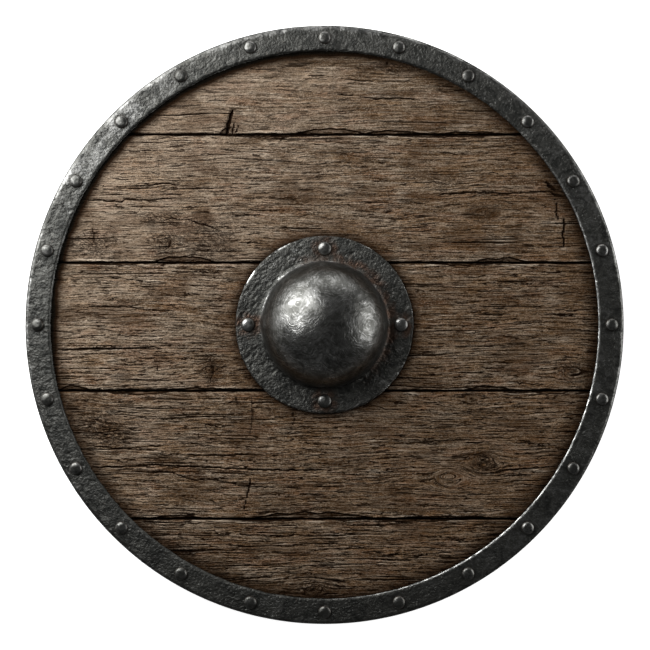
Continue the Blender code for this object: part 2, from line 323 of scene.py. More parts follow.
def noise(x, y, size_x, size_y, seed):
    """Gradient noise from about -1 to 1, with bumps size_x by size_y, always the same for one seed."""
    lean_x, lean_y = leanings(seed)
    u, v = x / size_x, y / size_y
    column, row = np.floor(u).astype(int), np.floor(v).astype(int)
    u, v = u - column, v - row

    def corner(i, j):
        place = ((column + i) % 256, (row + j) % 256)
        return lean_x[place] * (u - i) + lean_y[place] * (v - j)

    across, along = fade(u), fade(v)
    near = corner(0, 0) + across * (corner(1, 0) - corner(0, 0))
    far = corner(0, 1) + across * (corner(1, 1) - corner(0, 1))
    return 1.5 * (near + along * (far - near))


def ripple(x, size, seed):
    """Noise that changes along one length only."""
    return noise(x, 0 * x, size, 1, seed)


def layered_noise(x, y, size_x, size_y, seed, layers):
    """Noise with finer, weaker noise on it."""
    total = 0
    for layer in range(layers):
        scale = 0.5**layer
        total = total + scale * noise(x, y, size_x * scale, size_y * scale, seed + layer)
    return total


def ramp(value, low, high):
    """0 at low and 1 at high, smooth between. Low may be the larger of the two."""
    t = np.clip((value - low) / (high - low), 0, 1)
    return t * t * (3 - 2 * t)


def hammer_marks(u, v, spacing, sizes, seed, bounds):
    """Depths from 0 to 1 of dished hammer blows that overlap, on a surface with lengths u and v."""
    rng = np.random.default_rng(seed)
    (u_low, u_high), (v_low, v_high) = bounds
    count = int((u_high - u_low) * (v_high - v_low) / spacing**2)
    depth = np.zeros_like(u)
    for _ in range(count):
        centre_u, centre_v = rng.uniform(u_low, u_high), rng.uniform(v_low, v_high)
        radius = rng.uniform(*sizes)
        squash, strength = rng.uniform(0.75, 1.3), rng.uniform(0.3, 1.0)
        near = np.flatnonzero(np.abs(u - centre_u) < radius * 1.4)
        away = ((u[near] - centre_u) * squash) ** 2 + ((v[near] - centre_v) / squash) ** 2
        dish = strength * np.clip(1 - away / radius**2, 0, 1)
        depth[near] = np.maximum(depth[near], dish)
    return depth


# ---- meshes


def new_object(name, mesh):
    obj = bpy.data.objects.new(name, mesh)
    bpy.context.scene.collection.objects.link(obj)
    return obj


def mesh_from(name, shape):
    mesh = bpy.data.meshes.new(name)
    shape.to_mesh(mesh)
    shape.free()
    return mesh


def vectors(items, name):
    """One vector of each of a mesh's items, as rows."""
    flat = np.empty(len(items) * 3, np.float32)
    items.foreach_get(name, flat)
    return flat.reshape(-1, 3).astype(float)


def points_of(mesh):
    return vectors(mesh.vertices, "co")


def set_points(mesh, points):
    mesh.vertices.foreach_set("co", points.astype(np.float32).ravel())
    mesh.update()


def add_attributes(mesh, **layers):
    """Gives each point of a mesh a value for each layer that its material reads."""
    for name, values in layers.items():
        attribute = mesh.attributes.new(name, "FLOAT", "POINT")
        attribute.data.foreach_set("value", np.asarray(values, np.float32).ravel())


def turn_outwards(mesh, open_ends=False):
    """Turns the faces outwards, and first welds the seam and fills the ends where they are open."""
    shape = bmesh.new()
    shape.from_mesh(mesh)
    if open_ends:
        bmesh.ops.remove_doubles(shape, verts=shape.verts, dist=1e-7)
        rims = [edge for edge in shape.edges if edge.is_boundary]
        bmesh.ops.holes_fill(shape, edges=rims, sides=0)
    bmesh.ops.recalc_face_normals(shape, faces=shape.faces)
    shape.to_mesh(mesh)
    shape.free()
    return mesh


def finish_piece(obj, nodes, material, crease=math.radians(50)):
    """Smooth shading, its finish, and its place in the frame."""
    obj.data.shade_smooth()
    obj.data.set_sharp_from_angle(angle=crease)
    obj.data.materials.clear()
    obj.data.materials.append(material)
    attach(obj, "root")
    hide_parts(*nodes)


def cut(obj, cutter, operation):
    """Applies one Boolean and keeps the result as the object's own mesh."""
    modifier = obj.modifiers.new(operation.title(), "BOOLEAN")
    modifier.operation = operation
    modifier.solver = "MANIFOLD"
    modifier.object = cutter
    evaluated = obj.evaluated_get(bpy.context.evaluated_depsgraph_get())
    mesh = bpy.data.meshes.new_from_object(evaluated)
    obj.modifiers.clear()
    obj.data = mesh


def turned(name, profile, steps, sectors=8, closed=False):
    """A profile of (radius, height) points, in millimetres, turned about Z, welded and facing out.

    One sector is spun and then repeated round the axis, which is far quicker than one long spin.
    """
    shape = bmesh.new()
    corners = [shape.verts.new((radius * MM, 0, height * MM)) for radius, height in profile]
    if closed:
        corners.append(corners[0])
    for pair in zip(corners, corners[1:]):
        shape.edges.new(pair)
    centre = {"axis": (0, 0, 1), "cent": (0, 0, 0)}
    sector = 2 * math.pi / sectors
    geometry = [*shape.verts, *shape.edges]
    bmesh.ops.spin(shape, geom=geometry, angle=sector, steps=steps // sectors, **centre)
    geometry = [*shape.verts, *shape.edges, *shape.faces]
    rest = sectors - 1
    bmesh.ops.spin(shape, geom=geometry, angle=rest * sector, steps=rest, use_duplicate=True, **centre)
    bmesh.ops.remove_doubles(shape, verts=shape.verts, dist=2e-6)
    bmesh.ops.recalc_face_normals(shape, faces=shape.faces)
    return mesh_from(name, shape)


def arc(centre, radius, start, end, parts):
    """Points on an arc from one angle to another, in degrees, both ends included."""
    angles = [math.radians(start + (end - start) * i / parts) for i in range(parts + 1)]
    return [(centre[0] + radius * math.cos(a), centre[1] + radius * math.sin(a)) for a in angles]


def line(start, end, parts):
    """Points along a straight line, leaving out its end."""
    steps = [i / parts for i in range(parts)]
    return [(start[0] + (end[0] - start[0]) * t, start[1] + (end[1] - start[1]) * t) for t in steps]


def rivet_place(node):
    low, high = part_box(node)
    return (low.x + high.x) / 2, (low.y + high.y) / 2


def from_rivets(x, y, nodes):
    """How far each place is from the nearest of some rivets, in millimetres."""
    places = map(rivet_place, nodes)
    return np.minimum.reduce([np.hypot(x - px / MM, y - py / MM) for px, py in places])


def bore(obj, places, radius=RIVET_HOLE, sides=16):
    """Bores upright round holes through a piece."""
    size = radius * MM
    shape = bmesh.new()
    for x, y in places:
        hole = bmesh.ops.create_cone(
            shape, cap_ends=True, segments=sides, radius1=size, radius2=size, depth=0.1
        )
        bmesh.ops.translate(shape, verts=hole["verts"], vec=(x, y, 0))
    holes = new_object("holes", mesh_from("holes", shape))
    cut(obj, holes, "DIFFERENCE")
    bpy.data.objects.remove(holes)


def bore_for(obj, nodes):
    """Bores a piece for its rivets."""
    bore(obj, [rivet_place(node) for node in nodes])


# ---- wood relief


def raise_to(layer, values, part=...):
    """Brings a layer up to these values wherever it is lower."""
    layer[part] = np.maximum(layer[part], values)


class Face:
    """A plank's face as a grid of places in millimetres, with what the weather and the maker did to it, and
    the light and shade painted on it.
    """

    def __init__(self, number, columns, rows):
        self.xs, self.ys = columns, rows
        self.x, self.y = np.meshgrid(columns, rows)
        self.seed = 1000 * number
        self.rise, self.dirt, self.stain, self.wear, self.crazed = np.zeros((5, *self.x.shape))
        self.grain = self.bent_grain(KNOTS[number])
        self.crowding = noise(self.x, self.y, 60, 22, self.seed + 21)
        self.ragged = noise(self.x, self.y, 5, 2.4, self.seed + 22)
        self.tone = self.colour_across(*TONES[number])

    def bent_grain(self, knots):
        """The height across the grain. It wanders a little and passes round the knots."""
        x, y, seed = self.x, self.y, self.seed
        grain = y + 3.0 * noise(x, y, 150, 55, seed) + 1.1 * noise(x, y, 46, 18, seed + 1)
        grain += 0.35 * noise(x, y, 17, 9, seed + 6)
        for knot_x, knot_y, radius, _, bend in knots:
            reach = 2.0 * radius
            wander = 0.35 * radius * noise(x, y, 1.6 * radius, 1.1 * radius, seed + 12)
            across = y - knot_y + wander
            away = ((x - knot_x) / 1.8) ** 2 + across**2 + 0.3 * radius**2
            grain -= bend * across * reach**2 / away * np.exp(-away / (4 * reach**2)) * 0.6
        return grain

    def window(self, x_low, x_high, y_low, y_high):
        """The part of the grid that holds a small feature."""
        columns = slice(*np.searchsorted(self.xs, (x_low, x_high)))
        rows = slice(*np.searchsorted(self.ys, (y_low, y_high)))
        return rows, columns

    def carve(self, part, shape, depth, dirt=1.0):
        """Lowers the face by shape, which runs from 0 to 1, and lets dirt settle there."""
        self.rise[part] -= depth * shape
        raise_to(self.dirt, dirt * np.clip(1.35 * shape, 0, 1), part)

    def check(self, column, row, length, half_width, depth, lean, dirt):
        """One drying crack along the grain: a thin lens, steep above, with its lower lip raised and a
        highlight painted on it.
        """
        x, y = self.xs[column], self.ys[row]
        reach = 2.5 + 0.12 * length
        part = self.window(x - length / 2, x + length / 2, y - reach, y + reach)
        along = (self.x[part] - x) / (length / 2)
        middle = self.grain[row, column] + lean * along * length / 2
        width = half_width * (1 - np.abs(along) ** 2.2) * (1 + 0.3 * self.ragged[part]) + 0.04
        across = self.grain[part] - middle
        above, below = across > 0, across <= 0
        shape = np.clip(1 - (across / (width * np.where(above, 1, 1.35))) ** 2, 0, 1)
        shape = shape * np.clip(width / half_width * 1.4, 0, 1)
        self.carve(part, shape, depth, dirt)
        lip = below * np.exp(-(((across + 1.35 * width + 0.45) / 0.5) ** 2)) * (1 - along**2)
        self.rise[part] += 0.22 * depth * lip
        # A highlight painted on the raised lower lip, the side that faces the key light.
        self.wear[part] += 0.4 * lip

    def checks(self, count, lengths, half_widths, depths, dirt, seed):
        """Many drying cracks, crowded in some places and few in others."""
        narrow, wide = half_widths
        rng = np.random.default_rng(self.seed + seed)
        placed = 0
        while placed < count:
            column, row = rng.integers(len(self.xs)), rng.integers(len(self.ys))
            if rng.uniform(-0.9, 0.45) > self.crowding[row, column]:
                continue
            size = rng.uniform() ** 1.7
            length = lengths[0] + (lengths[1] - lengths[0]) * size
            width = narrow + (wide - narrow) * (0.6 * size + 0.4 * rng.uniform())
            depth = depths[0] + (depths[1] - depths[0]) * rng.uniform()
            darkness = dirt * rng.uniform(0.6, 1)
            self.check(column, row, length, width, depth, rng.normal(0, 0.02), darkness)
            placed += 1

    def crack(self, points, half_width, depth, dirt):
        """A long crack, blow or scar along a few points, tapering at both ends."""
        spots = np.array(points, float)
        spans = np.linalg.norm(np.diff(spots, axis=0), axis=1)
        reach = np.concatenate([[0], np.cumsum(spans)])
        pad = 3 * half_width + 3
        low, high = spots.min(0) - pad, spots.max(0) + pad
        part = self.window(low[0], high[0], low[1], high[1])
        x, y = self.x[part], self.y[part]
        if x.size == 0:
            return
        flow = self.grain[part] - y
        x = x + 0.7 * noise(x, y, 6, 6, self.seed + 31)
        y = y + 0.8 * noise(x, y, 7, 5, self.seed + 32) + 0.3 * (flow - flow.mean())
        nearest, where = np.full(x.shape, 1e9), np.zeros(x.shape)
        for start, end, span, before in zip(spots, spots[1:], spans, reach):
            way = (end - start) / span
            run = np.clip((x - start[0]) * way[0] + (y - start[1]) * way[1], 0, span)
            away = np.hypot(x - start[0] - run * way[0], y - start[1] - run * way[1])
            closer = away < nearest
            nearest[closer], where[closer] = away[closer], (before + run)[closer]
        end_room = np.minimum(where, reach[-1] - where)
        width = half_width * (0.35 + 0.65 * ramp(end_room, 0, min(14, reach[-1] / 3)))
        width *= 1 + 0.35 * noise(x, y, 5, 5, self.seed + 33)
        self.carve(part, np.clip(1 - (nearest / width) ** 2, 0, 1), depth, dirt)

    def knot(self, x, y, radius, rough):
        """Rings round a hard heart, broken up by small cracks."""
        reach = 2.2 * radius
        part = self.window(x - 1.7 * reach, x + 1.7 * reach, y - reach, y + reach)
        dx, dy = (self.x[part] - x) / 1.3, self.y[part] - y
        away = np.hypot(dx, dy) + 0.35 * radius * noise(dx, dy, radius, radius, self.seed + 41)
        inside = ramp(away, reach, 0.4 * radius)
        rings = np.sin(away * 2 * np.pi / 3.1 + 3 * noise(dx, dy, 6, 6, self.seed + 44))
        broken = layered_noise(self.x[part], self.y[part], 4.4, 3.2, self.seed + 42, 3)
        self.rise[part] += rough * inside * (0.06 * rings + 1.1 * np.minimum(broken, 0.15))
        heart = ramp(away, 0.8 * radius, 0.2 * radius) * rough
        pits = ramp(-broken, 0.08, 0.42) * inside * rough
        self.rise[part] -= 0.35 * heart + 0.6 * pits
        raise_to(self.dirt, np.maximum(0.4 * pits, 0.2 * heart), part)
        raise_to(self.crazed, inside * rough, part)
        raise_to(self.stain, 0.4 * inside * rough, part)

    def patch(self, x, y, half_length, half_height, strength):
        """A dark patch with a cloudy outline."""
        away = np.hypot((self.x - x) / half_length, (self.y - y) / half_height)
        away = away + 0.45 * layered_noise(self.x, self.y, 22, 12, self.seed + 51, 2)
        raise_to(self.stain, strength * ramp(away, 1.15, 0.35))

    def crazing(self, x, y, half_length, half_height, depth):
        """A net of small cracks across the grain and along it."""
        reach_x, reach_y = 1.3 * half_length, 1.3 * half_height
        part = self.window(x - reach_x, x + reach_x, y - reach_y, y + reach_y)
        dx, dy = self.x[part], self.y[part]
        if dx.size == 0:
            return
        away = np.hypot((dx - x) / half_length, (dy - y) / half_height)
        patch = ramp(away + 0.4 * noise(dx, dy, 14, 9, self.seed + 53), 1.1, 0.35)
        slanted = dx + 0.6 * dy
        flat_net = np.abs(noise(slanted, dy, 8.5, 5.0, self.seed + 54))
        steep_net = np.abs(noise(slanted, dy, 6.0, 7.5, self.seed + 55))
        cells = noise(dx, dy, 5.5, 4.0, self.seed + 56)
        lines = ramp(np.minimum(flat_net, steep_net), 0.12, 0.02) * patch
        self.rise[part] += patch * depth * 1.2 * cells - 0.6 * depth * lines
        self.wear[part] += 0.15 * patch * (cells > 0.1)
        raise_to(self.crazed, patch, part)

    def worn_edge(self, side, rounding, hollows):
        """Rounds one long edge, opens the joint beside it, and wears the hollows into it."""
        x, seed = self.x, self.seed + 61 + 5 * side
        inward = np.abs(self.y - (self.ys[-1] if side > 0 else self.ys[0]))
        radius = rounding * (1 + 0.35 * ripple(x, 26, seed))
        radius += 1.6 * ramp(ripple(x, 9, seed + 1), 0.25, 0.75)
        near = np.clip(1 - inward / radius, 0, 1)
        drop = radius * (1 - np.sqrt(np.clip(1 - near**2, 0, 1)))
        mouth = 1.15 + 0.6 * ripple(x, 38, seed + 2) + 0.45 * ripple(x, 11, seed + 3)
        drop += 4.0 * ramp(inward, mouth + 0.35, mouth - 0.35)
        chip = np.zeros_like(x)
        for centre, half_length, reach, depth in hollows:
            along = np.clip(1 - np.abs((x - centre) / half_length) ** 2.2, 0, 1)
            edge = reach * along * (1 + 0.3 * ripple(x, 14, seed + 4)) + 0.5 * ripple(x, 4, seed + 6)
            broken = ramp(edge - inward, 0, 0.7)
            raise_to(chip, broken * depth * (0.5 + 0.5 * np.clip(1 - inward / reach, 0, 1)))
            brink = ramp(np.abs(edge - inward - 0.5), 1.1, 0.3) * (along > 0.05)
            raise_to(self.dirt, brink)
        drop = np.maximum(drop, chip) * (1 + 0.3 * noise(x, self.grain, 12, 1.6, seed + 5))
        self.rise -= drop
        raise_to(self.stain, 0.8 * ramp(chip, 0.2, 0.8))
        raise_to(self.dirt, ramp(drop - 0.75 * chip, 0.6, 1.8))
        self.wear += 0.5 * (ramp(inward, mouth + 0.2, mouth + 0.9) * ramp(inward, 5.0, 2.3))

    def crevice(self, gap, reach, halo, sheltered):
        """Painted shade where the planks run under the iron, near black where it paints the rim's cast
        shadow.

        The gap is how far each place is from the iron, reach and halo are how far the painted shade goes in
        the dirt and in the stain layers, and the last argument, from 0 to 1, is how strongly the rim's shadow
        is painted.
        """
        gap = np.maximum(gap + 1.2 * layered_noise(self.x, self.y, 26, 14, self.seed + 81, 2), 0)
        # Painted shade, darker towards the iron, and the rim's cast shadow painted near black where it falls.
        raise_to(self.stain, 0.6 * ramp(gap, halo, 0))
        raise_to(self.stain, 1.8 * sheltered * ramp(gap, 7.0, 1.0))
        raise_to(self.dirt, 0.56 * (1 - np.minimum(gap / reach, 1)))
        raise_to(self.dirt, sheltered * (1 - np.minimum(gap / 14, 1)))

    def weather(self):
        """Soft grain worn low, hard grain left high, and the whole face gently uneven."""
        x, y, grain, seed = self.x, self.y, self.grain, self.seed
        self.rise += 0.42 * noise(x, y, 95, 42, seed + 2) + 0.20 * noise(x, y, 34, 15, seed + 3)
        self.rise += 0.12 * noise(x, y, 15, 60, seed + 4) + 0.22 * noise(x, y, 8, 6, seed + 5)
        self.rise += 0.12 * noise(x, y, 4.2, 2.2, seed + 7)
        ridges = 0.55 * noise(x, grain, 32, 3.2, seed + 8) + 0.45 * noise(x, grain, 14, 1.8, seed + 9)
        strength = 0.75 + 0.6 * noise(x, y, 80, 30, seed + 10)
        self.rise += 0.5 * strength * ridges
        self.wear = np.clip(0.5 + 1.1 * ridges * strength, -0.1, 1.1)
        self.wear += 0.35 * layered_noise(x, y, 42, 20, seed + 13, 3)
        raise_to(self.stain, 0.6 * ramp(layered_noise(x, y, 55, 24, seed + 11, 3), 0.1, 0.7))

    def colour_across(self, left, right):
        """The plank's tone from its left end to its right, with clouds in it: partly its own tone and partly
        painted light falling off from the left.
        """
        tone = 0.5 * (left + right) + 0.5 * (right - left) * self.x / BOARD_RADIUS
        return tone + 0.3 * layered_noise(self.x, self.y, 70, 26, self.seed + 91, 3)


def weathered_face(number, columns, rows, wood):
    """The finished relief of one plank's face."""
    face = Face(number, columns, rows)
    face.weather()
    area = (columns[-1] - columns[0]) * (rows[-1] - rows[0]) * SPLIT[number] ** 2
    for apart, lengths, half_widths, depths, dirt, seed in CHECKS:
        face.checks(int(area / apart), lengths, half_widths, depths, dirt, seed)
    for points, half_width, depth, dirt in LONG_CRACKS[number]:
        face.crack(points, half_width, depth * wood.crack_depth, dirt)
    for x, y, radius, rough, _ in KNOTS[number]:
        face.knot(x, y, radius, rough)
    for stain in STAINS[number]:
        face.patch(*stain)
    for patch in CRAZED[number]:
        face.crazing(*patch)
    away = np.hypot(face.x, face.y)
    # The upper left, where the rim's shadow is painted on the wood, as the key light comes from there.
    sheltered = ramp((face.y - face.x) / np.maximum(away, 1), 0.3, 1.1)
    # Painted shade round the inside of the rim and round the boss.
    face.crevice(RIM_LIP - away, reach=24, halo=14, sheltered=sheltered)
    face.crevice(away - BOSS[2], reach=12, halo=26, sheltered=0)
    for side in (1, -1):
        if (number, side) in EDGE_WEAR:
            face.worn_edge(side, wood.joint_wear / MM, EDGE_WEAR[number, side])
    return face


def face_rows(low, high):
    """Heights of the grid's rows, closer together beside the joints."""
    edge = int(EDGE_REACH / EDGE_ROW)
    middle = round((high - low - 2 * EDGE_REACH) / FACE_ROW)
    inner = np.linspace(low + EDGE_REACH, high - EDGE_REACH, middle + 1)
    lower = np.linspace(low, low + EDGE_REACH, edge, endpoint=False)
    upper = np.linspace(high, high - EDGE_REACH, edge, endpoint=False)[::-1]
    return np.concatenate([lower, inner, upper])


def plank_mesh(number, low, high, wood):
    """A grid rolled round the plank's section, with the relief on its face, closed at its seam and ends."""
    columns = np.linspace(low.x / MM, high.x / MM, round((high.x - low.x) / MM / COLUMN) + 1)
    rows = face_rows(low.y / MM, high.y / MM)
    face = weathered_face(number, columns, rows, wood)
    top = high.z / MM - WORN_DOWN + np.minimum(face.rise, WORN_DOWN)
    back_rows = np.linspace(rows[-1], rows[0], round((high.y - low.y) / MM / BACK_ROW) + 1)
    back_x, back_y = np.meshgrid(columns, back_rows)
    seed = 1000 * number + 500
    back_grain = back_y + 2 * noise(back_x, back_y, 150, 50, seed)
    back = low.z / MM + 0.12 * np.maximum(noise(back_x, back_grain, 60, 9, seed + 1), 0)
    steps_down = np.linspace(0, 1, WALL_ROWS + 1)[1:-1]

    section = [(rows[i], top[i]) for i in range(len(rows))]
    section += [(rows[-1], top[-1] + (back[0] - top[-1]) * t) for t in steps_down]
    section += [(back_rows[i], back[i]) for i in range(len(back_rows))]
    section += [(rows[0], back[-1] + (top[0] - back[-1]) * t) for t in steps_down]
    section.append(section[0])
    all_y = np.array([np.full_like(columns, y) for y, _ in section])
    all_z = np.array([z for _, z in section])

    shape = bmesh.new()
    lanes, steps = len(section) - 1, len(columns) - 1
    bmesh.ops.create_grid(shape, x_segments=steps, y_segments=lanes, size=0.5)
    mesh = mesh_from(f"oak_plank_{number}", shape)
    across, up, _ = points_of(mesh).T
    place = tuple(np.rint((v + 0.5) * parts).astype(int) for v, parts in ((up, lanes), (across, steps)))
    set_points(mesh, np.stack([columns[place[1]], all_y[place], all_z[place]], 1) * MM)

    def spread_over(on_face, elsewhere):
        values = np.zeros(all_y.shape) + elsewhere
        values[: len(rows)] = on_face
        values[-1] = on_face[0]
        return values[place]

    add_attributes(
        mesh,
        grain=(spread_over(face.grain, all_y) + 1000 * number) * MM,
        dirt=spread_over(face.dirt, 0.3),
        wear=spread_over(face.wear, 0.35),
        stain=spread_over(face.stain, 0.25),
        crazed=spread_over(face.crazed, 0),
        tone=spread_over(face.tone, 0),
        split=np.full(len(up), SPLIT[number]),
    )
    return turn_outwards(mesh, open_ends=True)


def sawn_round():
    """The round that the planks are sawn to, with the hand hole and the rivets' holes through it."""
    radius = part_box("plank_3")[1].x
    shape = bmesh.new()
    bmesh.ops.create_cone(shape, cap_ends=True, segments=288, radius1=radius, radius2=radius, depth=0.08)
    board = new_object("sawn_round", mesh_from("sawn_round", shape))
    bore_for(board, RIM_RIVETS + BOSS_RIVETS)
    bore(board, [(0, 0)], HAND_HOLE, 96)
    return board


# ---- materials


def add_node(tree, kind, settings=None):
    """Adds one node and returns its outputs. A setting is the node's own, an input's value or a link."""
    node = tree.nodes.new(f"ShaderNode{kind}")
    for name, value in (settings or {}).items():
        if isinstance(value, bpy.types.NodeSocket):
            tree.links.new(value, node.inputs[name])
        elif isinstance(name, str) and hasattr(node, name):
            setattr(node, name, value)
        else:
            node.inputs[name].default_value = value
    return node.outputs


def new_material(name):
    """A material, its empty tree and the place on the piece that its patterns start from."""
    material = bpy.data.materials.new(name)
    material.use_nodes = True
    tree = material.node_tree
    tree.nodes.clear()
    return material, tree, add_node(tree, "TexCoord")["Object"]


def surface(tree, settings, height, depth, strength=1.0):
    """The bump, depth metres deep, the shader and the output that end every material."""
    bump = add_node(tree, "Bump", {"Strength": strength, "Distance": depth, "Height": height})[0]
    shader = add_node(tree, "BsdfPrincipled", {**settings, "Normal": bump})["BSDF"]
    add_node(tree, "OutputMaterial", {"Surface": shader})


def sized(tree, vector, size, kind, settings):
    """A texture on a place or direction, drawn in size millimetres along each axis."""
    scale = [1 / (length * MM) for length in size]
    spaced = add_node(tree, "Mapping", {"Scale": scale, "Vector": vector})[0]
    return add_node(tree, kind, {"Scale": 1.0, "Vector": spaced, **settings})


def spots(tree, vector, size, detail=2.0, roughness=0.5, distortion=0.0):
    """A random pattern from 0 to 1, whose spots have one size in millimetres or one along each axis."""
    sizes = size if isinstance(size, tuple) else (size, size, size)
    settings = {"Detail": detail, "Roughness": roughness, "Distortion": distortion}
    return sized(tree, vector, sizes, "TexNoise", settings)["Fac"]


def lay_over(tree, under, colour, where, low, high, strength=1.0):
    """Lays a colour over another: none where the pattern is at low, and up to strength at high."""
    settings = {"From Min": low, "From Max": high, "To Min": 0.0, "To Max": strength, "Value": where}
    amount = add_node(tree, "MapRange", settings)[0]
    return add_node(tree, "Mix", {"data_type": "RGBA", "Factor": amount, 6: under, 7: (*colour, 1)})[2]


def coated(tree, ground, coats):
    """Lays several colours over the ground, in their order."""
    colour = (*ground, 1)
    for coat in coats:
        colour = lay_over(tree, colour, *coat)
    return colour


def weighted(tree, *parts):
    """The sum of some patterns, each times its weight."""
    total = 0.0
    for pattern, weight in parts:
        settings = {"operation": "MULTIPLY_ADD", 0: pattern, 1: weight, 2: total}
        total = add_node(tree, "Math", settings)[0]
    return total


def grain_lines(tree, along, spacing, bend, half_width, runs, opening, share):
    """Thin lines along the grain, spacing apart, broken into runs: 0 beside a line and share in it."""
    band = 0.314  # what the wave texture repeats after, at a scale of 1
    settings = {
        "wave_type": "BANDS",
        "bands_direction": "Y",
        "wave_profile": "TRI",
        "Distortion": bend,
        "Detail": 5.0,
        "Detail Scale": 1.0,
        "Detail Roughness": 0.66,
    }
    bands = sized(tree, along, (70, spacing / band, 20), "TexWave", settings)["Fac"]
    width = 2 * half_width / spacing
    lines = add_node(tree, "MapRange", {"From Min": 1.4 * width, "From Max": 0.6 * width, "Value": bands})
    broken = spots(tree, along, runs)
    settings = {"From Min": opening, "From Max": opening + 0.12, "To Max": share, "Value": broken}
    open_here = add_node(tree, "MapRange", settings)
    return add_node(tree, "Math", {"operation": "MULTIPLY", 0: lines[0], 1: open_here[0]})[0]


def crackle(tree, place, size, width, where):
    """A net of small cracks round cells of some size, as deep as the pattern where says."""
    wander = spots(tree, place, (9, 6, 6), 3, 0.6)
    apart = add_node(tree, "SeparateXYZ", {0: place})
    x = weighted(tree, (apart["X"], 1.0), (wander, 16 * MM))
    y = weighted(tree, (apart["Y"], 1.0), (wander, -9 * MM))
    bent = add_node(tree, "CombineXYZ", {"X": x, "Y": y, "Z": apart["Z"]})[0]
    edge = sized(tree, bent, size, "TexVoronoi", {"feature": "DISTANCE_TO_EDGE"})["Distance"]
    edge = weighted(tree, (edge, 1.0), (spots(tree, place, (12, 8, 8)), -width))
    lines = add_node(tree, "MapRange", {"From Min": width, "From Max": -0.2 * width, "Value": edge})
    return add_node(tree, "Math", {"operation": "MULTIPLY", 0: lines[0], 1: where})[0]


def weathered_oak(wood):
    """Oak sawn into planks, left to the weather for years and never oiled.

    The soft early wood has worn away, so the eye sees tan ridges with dirt between them, black drying
    cracks along the grain with a highlight painted on their lower lips, a net of finer ones where the face
    is crazed, silver-grey patches, here and there the warm red of newer wood, and painted shade beside the
    rim and the boss, near black where it paints the rim's shadow. The planks are paler towards the upper
    left, partly their own tone and partly painted light. It has no gloss. The finest pores are drawn about
    twice as wide as real ones, so that they show at arm's length.
    """
    material, tree, place = new_material("weathered_oak")
    apart = add_node(tree, "SeparateXYZ", {0: place})
    grain, dirt, wear, stain, crazed, tone, split = (
        add_node(tree, "Attribute", {"attribute_name": layer})["Fac"]
        for layer in ("grain", "dirt", "wear", "stain", "crazed", "tone", "split")
    )
    along = add_node(tree, "CombineXYZ", {"X": apart["X"], "Y": grain, "Z": apart["Z"]})[0]

    rings = spots(tree, along, (48, 1.5, 5), 1)
    streaks = spots(tree, along, (16, 2.6, 6), 3, 0.6)
    fibres = spots(tree, along, (9, 1.1, 3), 1)
    cloud = spots(tree, along, (48, 20, 20), 3, 0.55)
    shade = spots(tree, along, (26, 9, 12), 3, 0.6)
    warmth = spots(tree, along, (30, 10, 12), 2)
    gold = spots(tree, along, (34, 11, 14), 2)
    pores = spots(tree, along, (5, 1.1, 2), 1)
    tooth = spots(tree, along, (1.4, 1.1, 1.4), 1, 0.6)
    long_lines = grain_lines(
        tree, along, spacing=5.4, bend=14, half_width=0.37, runs=(24, 4, 8), opening=0.445, share=split
    )
    short_lines = grain_lines(
        tree, along, spacing=2.6, bend=12, half_width=0.31, runs=(6.5, 1.9, 4), opening=0.44, share=split
    )
    net = crackle(tree, place, size=(4.4, 3.1, 4), width=0.125, where=crazed)

    coats = (
        (wood.ridge, streaks, 0.45, 0.66, 0.5),
        (wood.ridge, wear, 0.5, 1.1, 0.6),
        (wood.grey, cloud, 0.45, 0.68, 0.35),
        (wood.red, warmth, 0.5, 0.68, 0.5),
        (wood.gold, gold, 0.5, 0.68, 0.5),
        (wood.groove, shade, 0.5, 0.28, 0.5),
        (wood.groove, streaks, 0.52, 0.34, 0.45),
        (wood.groove, wear, 0.45, 0.0, 0.45),
        (wood.ridge, rings, 0.5, 0.64, 0.4),
        (wood.groove, rings, 0.48, 0.36, 0.45),
        (wood.groove, fibres, 0.48, 0.36, 0.35),
        (wood.groove, tooth, 0.5, 0.32, 0.55),
        (wood.ridge, tooth, 0.52, 0.68, 0.45),
        (wood.groove, pores, 0.38, 0.33, 0.6),
        # Paler or darker by each plank's tone, which is partly painted light, paler towards the upper left.
        (wood.ridge, tone, 0.0, 1.0, 0.5),
        (wood.warm, tone, 0.1, -0.9, 0.6),
        # Pale on the highest ridges, and the highlight painted on the cracks' lower lips.
        (wood.pale, wear, 0.95, 1.5, 0.6),
        (wood.crack, short_lines, 0.0, 1.0, 0.95),
        (wood.crack, long_lines, 0.0, 1.0, 1.0),
        # Stains, and painted shade round the rim and the boss.
        (wood.groove, stain, 0.0, 1.0, 0.75),
        (wood.crack, net, 0.0, 1.0, 0.72),
        # Dirt in cracks and joints, and painted shade beside the rim and the boss.
        (wood.crack, dirt, 0.18, 0.64, 0.97),
        # The rim's cast shadow, painted near black.
        (wood.soot, stain, 0.9, 1.7, 0.95),
    )
    height = weighted(
        tree,
        (tooth, 1.2),
        (rings, 0.8),
        (fibres, 0.7),
        (streaks, 0.9),
        (long_lines, -1.2),
        (short_lines, -0.8),
        (net, -0.5),
    )
    colour = coated(tree, wood.body, coats)
    settings = {"Base Color": colour, "Roughness": 0.9, "IOR": 1.45, "Specular IOR Level": 0.05}
    surface(tree, settings, height, 1 * MM)
    return material


